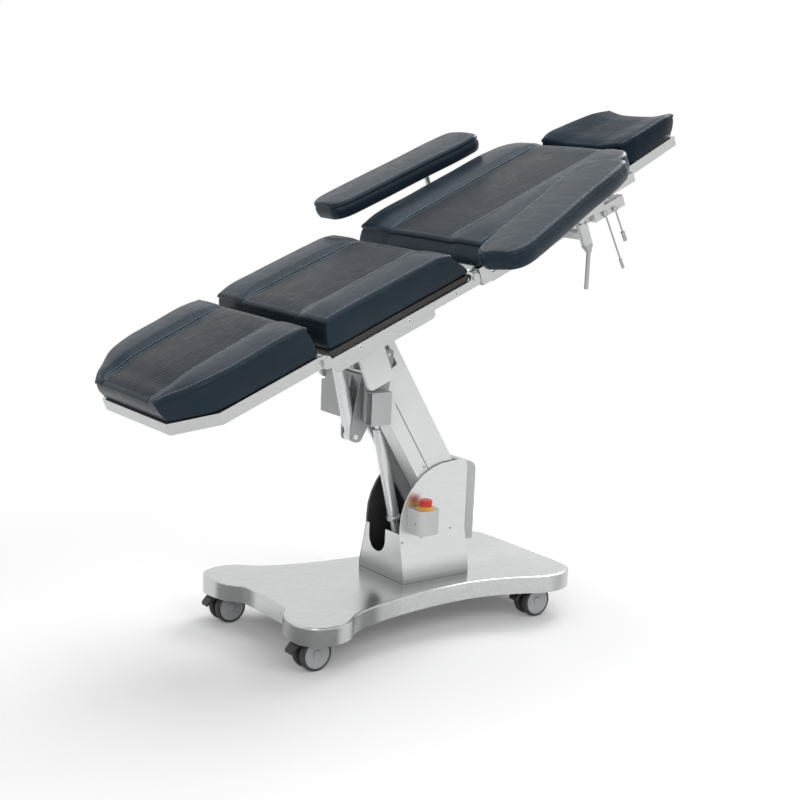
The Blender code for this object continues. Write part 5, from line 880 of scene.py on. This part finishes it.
def stitch_mesh(name, lines):
    """Short raised stitches at an even pitch along lines."""
    points, faces = [], []
    for line in lines:
        travelled, target = 0.0, STITCH_END_GAP
        for start, end in zip(line, line[1:]):
            length = (end - start).length
            while length and target <= travelled + length:
                middle = start.lerp(end, (target - travelled) / length)
                add_stitch(points, faces, middle, (end - start).normalized())
                target += STITCH_PITCH
            travelled += length
    return mesh_of(name, points, faces)


def make_pad(node, body, pad, matrix, cover=LEATHER):
    """A pad with its stitches, in place of its plain solid."""
    piece = add_piece(node + "_leather", pad.mesh(node + "_leather"), matrix, body, [cover])
    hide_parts(node)
    name = node + "_stitches"
    sewing = add_piece(name, stitch_mesh(node, pad.seam_lines()), matrix, body, [THREAD])
    sewing.parent = piece
    sewing.matrix_parent_inverse = matrix.inverted()
    sewing.matrix_world = matrix


def arm_pad():
    """The shape of an arm pad, rounded at its foot and squarer at its head."""
    foot_x = -ARM_PAD_FOOT_REACH
    head_x = ARM_PAD_LENGTH - ARM_PAD_FOOT_REACH
    places = [(foot_x + ARM_FOOT_CURVE * along, wide) for along, wide in ARM_FOOT_SHARES]
    places += [(head_x - ARM_HEAD_CURVE * along, wide) for along, wide in ARM_HEAD_SHARES]
    outline = [(x, ARM_PAD_HALF_WIDTH * wide) for x, wide in places]
    stations = [(*place, *place, ARM_PAD_TOP) for place in outline]
    return Pad(stations, ARM_PAD_LOW, crown=ARM_PAD_CROWN)


def make_pads():
    """The six pads, each in the frame of its section or arm support."""
    seat, leg, back = (
        Pad(stations, low, PANEL_DISH, PANEL_HALF_WIDTH)
        for stations, low in ((SEAT_STATIONS, SEAT_LOW), (LEG_STATIONS, TRAY_LOW), (BACK_STATIONS, TRAY_LOW))
    )
    head = Pad(
        HEADREST_STATIONS, HEADREST_LOW, HEADREST_DISH, HEADREST_PANEL, HEADREST_NOTCH,
        sewn=False, roll=HEADREST_ROLL,
    )
    arm = arm_pad()
    make_pad("seat_cushion", "seat", seat, SEAT_FRAME)
    make_pad("leg_cushion", "leg", leg, SEAT_FRAME)
    make_pad("back_cushion", "back", back, BACK_FRAME)
    make_pad("headrest_cushion", "headrest", head, HEADREST_FRAME, HEADREST_LEATHER)
    make_pad("armrest_near_pad", "armrest_near_support", arm, NEAR_PAD_FRAME)
    make_pad("armrest_far_pad", "armrest_far_support", arm, FAR_PAD_FRAME)


def turned_mesh(name, profile, axis, steps=TURN_STEPS):
    """A turned shape, closed on its axis or in a ring. The profile's points are (radius, height, part)."""
    points, faces, materials = [], [], []
    rings = []
    for radius, height, _ in profile:
        ring = []
        for step in range(1 if radius == 0 else steps):
            turn = math.tau * step / steps
            spot = (radius * math.cos(turn), radius * math.sin(turn), height)
            points.append(Vector((spot[0], spot[2], spot[1])) if axis == "Y" else Vector(spot))
            ring.append(len(points) - 1)
        rings.append(ring)
    for index in range(len(rings) - 1):
        first, second = rings[index], rings[index + 1]
        for step in range(steps):
            following = (step + 1) % steps
            if len(first) == 1:
                faces.append((first[0], second[step], second[following]))
            elif len(second) == 1:
                faces.append((first[step], second[0], first[following]))
            else:
                faces.append((first[step], second[step], second[following], first[following]))
            materials.append(profile[index][2])
    return mesh_of(name, points, faces, materials)


def wheel_profile():
    """One wheel from its back over its crowned tyre to the middle of its front."""
    middle, half = (WHEEL_INNER + WHEEL_OUTER) / 2, (WHEEL_OUTER - WHEEL_INNER) / 2
    profile = [(radius, WHEEL_INNER + depth, part) for radius, depth, part in WHEEL_BACK]
    for step in range(TYRE_STEPS + 1):
        turn = math.pi * step / TYRE_STEPS
        radius = WHEEL_RADIUS - TYRE_CROWN + TYRE_CROWN * math.sin(turn)
        profile.append((radius, middle - half * math.cos(turn), TYRE))
    return profile + [(radius, WHEEL_OUTER - depth, part) for radius, depth, part in WHEEL_FRONT]


def add_twin(mesh):
    """The wheel's mirrored twin and the axle between the two, added to the wheel's mesh."""
    shape = bmesh.new()
    shape.from_mesh(mesh)
    made = bmesh.ops.duplicate(shape, geom=shape.verts[:] + shape.edges[:] + shape.faces[:])["geom"]
    copied = [item for item in made if isinstance(item, bmesh.types.BMVert)]
    bmesh.ops.scale(shape, vec=(1.0, -1.0, 1.0), verts=copied)
    bmesh.ops.create_cone(
        shape, cap_ends=True, segments=AXLE_SIDES, radius1=AXLE_RADIUS, radius2=AXLE_RADIUS,
        depth=2 * WHEEL_INNER, matrix=Matrix.Rotation(math.pi / 2, 4, "X"),
    )
    bmesh.ops.recalc_face_normals(shape, faces=shape.faces)
    shape.to_mesh(mesh)
    shape.free()


def make_wheels():
    """Twin wheels with grey hubs, dark rims and rubber tyres, in place of each caster's plain wheels."""
    for end in ("foot", "head"):
        for side in ("near", "far"):
            name = f"caster_{end}_{side}_wheels"
            low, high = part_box(name)
            place = Matrix.Translation((low + high) / 2)
            mesh = turned_mesh(name + "_turned", wheel_profile(), "Y")
            add_twin(mesh)
            parts = [RUBBER, CASTER_GREY, CASTER_DARK]
            wheels = add_piece(name + "_detail", mesh, place, name, parts)
            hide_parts(name)
            normals = wheels.modifiers.new("flat faces", "WEIGHTED_NORMAL")
            normals.keep_sharp = True


def make_stop():
    """The emergency stop's mushroom button and its yellow collar, turned fine."""
    low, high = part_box("estop_button")
    centre = Vector(((low.x + high.x) / 2, (low.y + high.y) / 2, 0.0))
    place = Matrix.Translation(centre)
    cap = [(0.0, low.z, 0), (STOP_STEM_RADIUS, low.z, 0)]
    cap += [(radius, high.z - depth, 0) for radius, depth in STOP_CAP]
    mesh = turned_mesh("estop_button", cap, "Z")
    button = add_piece("estop_button_turned", mesh, place, "estop_button", [STOP_RED])
    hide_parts("estop_button")
    low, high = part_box("estop_collar")
    plate = low.z + COLLAR_PLATE_HEIGHT
    edge = COLLAR_PLATE - COLLAR_PLATE_EDGE
    ring = [
        (COLLAR_BORE, low.z, 0), (edge, low.z, 0), (COLLAR_PLATE, low.z + COLLAR_PLATE_EDGE, 0),
        (COLLAR_PLATE, plate - COLLAR_PLATE_EDGE, 0), (edge, plate, 0), (COLLAR_RING, plate, 0),
        (COLLAR_RING, high.z - COLLAR_RING_EDGE, 0), (COLLAR_RING - COLLAR_RING_EDGE, high.z, 0),
        (COLLAR_BORE, high.z, 0), (COLLAR_BORE, low.z, 0),
    ]
    mesh = turned_mesh("estop_collar", ring, "Z")
    collar = add_piece("estop_collar_turned", mesh, place, "base", [STOP_YELLOW])
    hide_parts("estop_collar")


def screw_profile(radius):
    """A screw's head from its foot over its edge down into its recess, which is painted black as shade."""
    recess, floor = radius * SCREW_RECESS_SHARE, SCREW_HEIGHT * SCREW_FLOOR_SHARE
    return [
        (0.0, 0.0, 0), (radius, 0.0, 0), (radius, SCREW_HEIGHT * SCREW_SIDE_SHARE, 0),
        (radius * SCREW_CROWN_SHARE, SCREW_HEIGHT, 0), (recess, SCREW_HEIGHT, 1), (recess, floor, 1),
        (0.0, floor, 1),
    ]


def make_screws():
    """Small socket screws, each a turned head with a recess painted black as shade, on both rails and at the
    listed places.
    """
    screws = list(SCREWS)
    for side, sign in (("near", -1.0), ("far", 1.0)):
        for number, (x, z) in enumerate(BAR_SCREWS):
            name = f"seat_bar_{side}_screw_{number + 1}"
            spot = (x, MIDDLE_Y + sign * BAR_FACE_REACH, z)
            screws.append((name, "seat", spot, (0.0, sign, 0.0), BAR_SCREW_RADIUS))
    for name, body, spot, outward, radius in screws:
        turn = Vector(outward).to_track_quat("Z", "Y").to_matrix().to_4x4()
        place = Matrix.Translation(spot) @ turn
        mesh = turned_mesh(name, screw_profile(radius), "Z", SCREW_STEPS)
        head = STEEL_BRIGHT if body == "seat" else HEAD_GREY
        # The recess's black is painted shade
        add_piece(name, mesh, place, body, [head, BLACK], smooth=False)


def make_arm_seams():
    """The dark joint between the lift arm and its cover, as a thin strip on each side."""
    (top_x, top_z), (low_x, low_z) = ARM_SEAM_ENDS
    along = Vector((low_x - top_x, 0.0, low_z - top_z))
    across = Vector((-along.z, 0.0, along.x)).normalized() * (ARM_SEAM_WIDTH / 2)
    for side, sign in (("near", -1.0), ("far", 1.0)):
        face = Vector((top_x, MIDDLE_Y + sign * ARM_SEAM_REACH, top_z))
        out = Vector((0.0, sign * ARM_SEAM_HEIGHT, 0.0))
        low = [face - across, face + across, face + along + across, face + along - across]
        points = low + [point + out for point in low]
        faces = [(0, 1, 2, 3), (4, 5, 6, 7)]
        faces += [(near, (near + 1) % 4, (near + 1) % 4 + 4, near + 4) for near in range(4)]
        name = f"lift_arm_seam_{side}"
        mesh = mesh_of(name, points, faces)
        add_piece(name, mesh, Matrix(), "lift_arm", [BLACK], smooth=False)


def make_camera():
    """The camera at the photograph's place and lens."""
    forward = Vector((
        math.sin(CAMERA_AZIMUTH) * math.cos(CAMERA_PITCH),
        math.cos(CAMERA_AZIMUTH) * math.cos(CAMERA_PITCH),
        -math.sin(CAMERA_PITCH),
    ))
    level = Vector((math.cos(CAMERA_AZIMUTH), -math.sin(CAMERA_AZIMUTH), 0.0))
    down = forward.cross(level)
    right = level * math.cos(CAMERA_ROLL) + down * math.sin(CAMERA_ROLL)
    down = down * math.cos(CAMERA_ROLL) - level * math.sin(CAMERA_ROLL)
    data = bpy.data.cameras.new("photo_camera")
    data.sensor_width = SENSOR
    data.lens = SENSOR * FOCAL_PIXELS / IMAGE_WIDTH
    camera = bpy.data.objects.new("photo_camera", data)
    bpy.context.scene.collection.objects.link(camera)
    camera.matrix_world = frame_matrix(CAMERA_PLACE, right, -down, -forward)
    bpy.context.scene.camera = camera


def seen_rays(tree):
    """1 for rays from the camera, from a mirror or through glass, otherwise 0."""
    path = tree.nodes.new("ShaderNodeLightPath")
    total = path.outputs["Is Camera Ray"]
    for name in ("Is Glossy Ray", "Is Transmission Ray"):
        adder = tree.nodes.new("ShaderNodeMath")
        adder.operation = "ADD"
        adder.use_clamp = True
        tree.links.new(total, adder.inputs[0])
        tree.links.new(path.outputs[name], adder.inputs[1])
        total = adder.outputs["Value"]
    return total


def make_floor():
    """A plain pale floor that looks white and keeps the table's shadow."""
    mesh = bpy.data.meshes.new("floor")
    shape = bmesh.new()
    bmesh.ops.create_grid(shape, x_segments=1, y_segments=1, size=FLOOR_HALF)
    shape.to_mesh(mesh)
    shape.free()
    floor = bpy.data.objects.new("floor", mesh)
    bpy.context.scene.collection.objects.link(floor)
    material, tree, shader = new_material("floor", FLOOR_COLOUR, FLOOR_ROUGHNESS)
    shader.inputs["Specular IOR Level"].default_value = 0.0
    shader.inputs["Emission Color"].default_value = WHITE
    seen = seen_rays(tree)
    tree.links.new(product(tree, seen, None, FLOOR_GLOW), shader.inputs["Emission Strength"])
    distance = tree.nodes.new("ShaderNodeVectorMath")
    distance.operation = "LENGTH"
    tree.links.new(object_coordinates(tree), distance.inputs[0])
    far = scaled(tree, distance.outputs["Value"], 0.0, 1.0, FLOOR_WHITE_START, FLOOR_WHITE_END)
    white = tree.nodes.new("ShaderNodeEmission")
    mix = tree.nodes.new("ShaderNodeMixShader")
    tree.links.new(product(tree, seen, far), mix.inputs["Fac"])
    tree.links.new(shader.outputs["BSDF"], mix.inputs[1])
    tree.links.new(white.outputs["Emission"], mix.inputs[2])
    tree.links.new(mix.outputs["Shader"], tree.nodes["Material Output"].inputs["Surface"])
    mesh.materials.append(material)


def make_world():
    """A studio surround: white where it is seen, and a soft gradient from pale above to grey at the sides."""
    world = bpy.data.worlds.new("studio")
    bpy.context.scene.world = world
    world.use_nodes = True
    tree = world.node_tree
    tree.nodes.clear()
    source = tree.nodes.new("ShaderNodeTexCoord")
    split = tree.nodes.new("ShaderNodeSeparateXYZ")
    tree.links.new(source.outputs["Generated"], split.inputs["Vector"])
    sky = two_colours(tree, split.outputs["Z"], WORLD_SIDE, WORLD_TOP, (0.0, WORLD_TOP_START))
    soft = tree.nodes.new("ShaderNodeBackground")
    soft.inputs["Strength"].default_value = WORLD_LIGHT
    tree.links.new(sky, soft.inputs["Color"])
    white = tree.nodes.new("ShaderNodeBackground")
    white.inputs["Color"].default_value = WHITE
    mix = tree.nodes.new("ShaderNodeMixShader")
    tree.links.new(seen_rays(tree), mix.inputs["Fac"])
    tree.links.new(soft.outputs["Background"], mix.inputs[1])
    tree.links.new(white.outputs["Background"], mix.inputs[2])
    output = tree.nodes.new("ShaderNodeOutputWorld")
    tree.links.new(mix.outputs["Shader"], output.inputs["Surface"])


def make_lamps():
    for name, place, target, width, height, power in LAMPS:
        data = bpy.data.lights.new(name, "AREA")
        data.shape = "RECTANGLE"
        data.size = width
        data.size_y = height
        data.energy = power
        lamp = bpy.data.objects.new(name, data)
        bpy.context.scene.collection.objects.link(lamp)
        lamp.location = place
        lamp.rotation_mode = "QUATERNION"
        lamp.rotation_quaternion = (Vector(target) - Vector(place)).to_track_quat("-Z", "Y")


def build():
    make_camera()
    for name, node in NODES.items():
        dress_solid(name, node)
    make_pads()
    make_wheels()
    make_stop()
    make_screws()
    make_arm_seams()
    make_floor()
    make_world()
    make_lamps()
    bpy.context.scene.view_settings.view_transform = "Standard"


build()
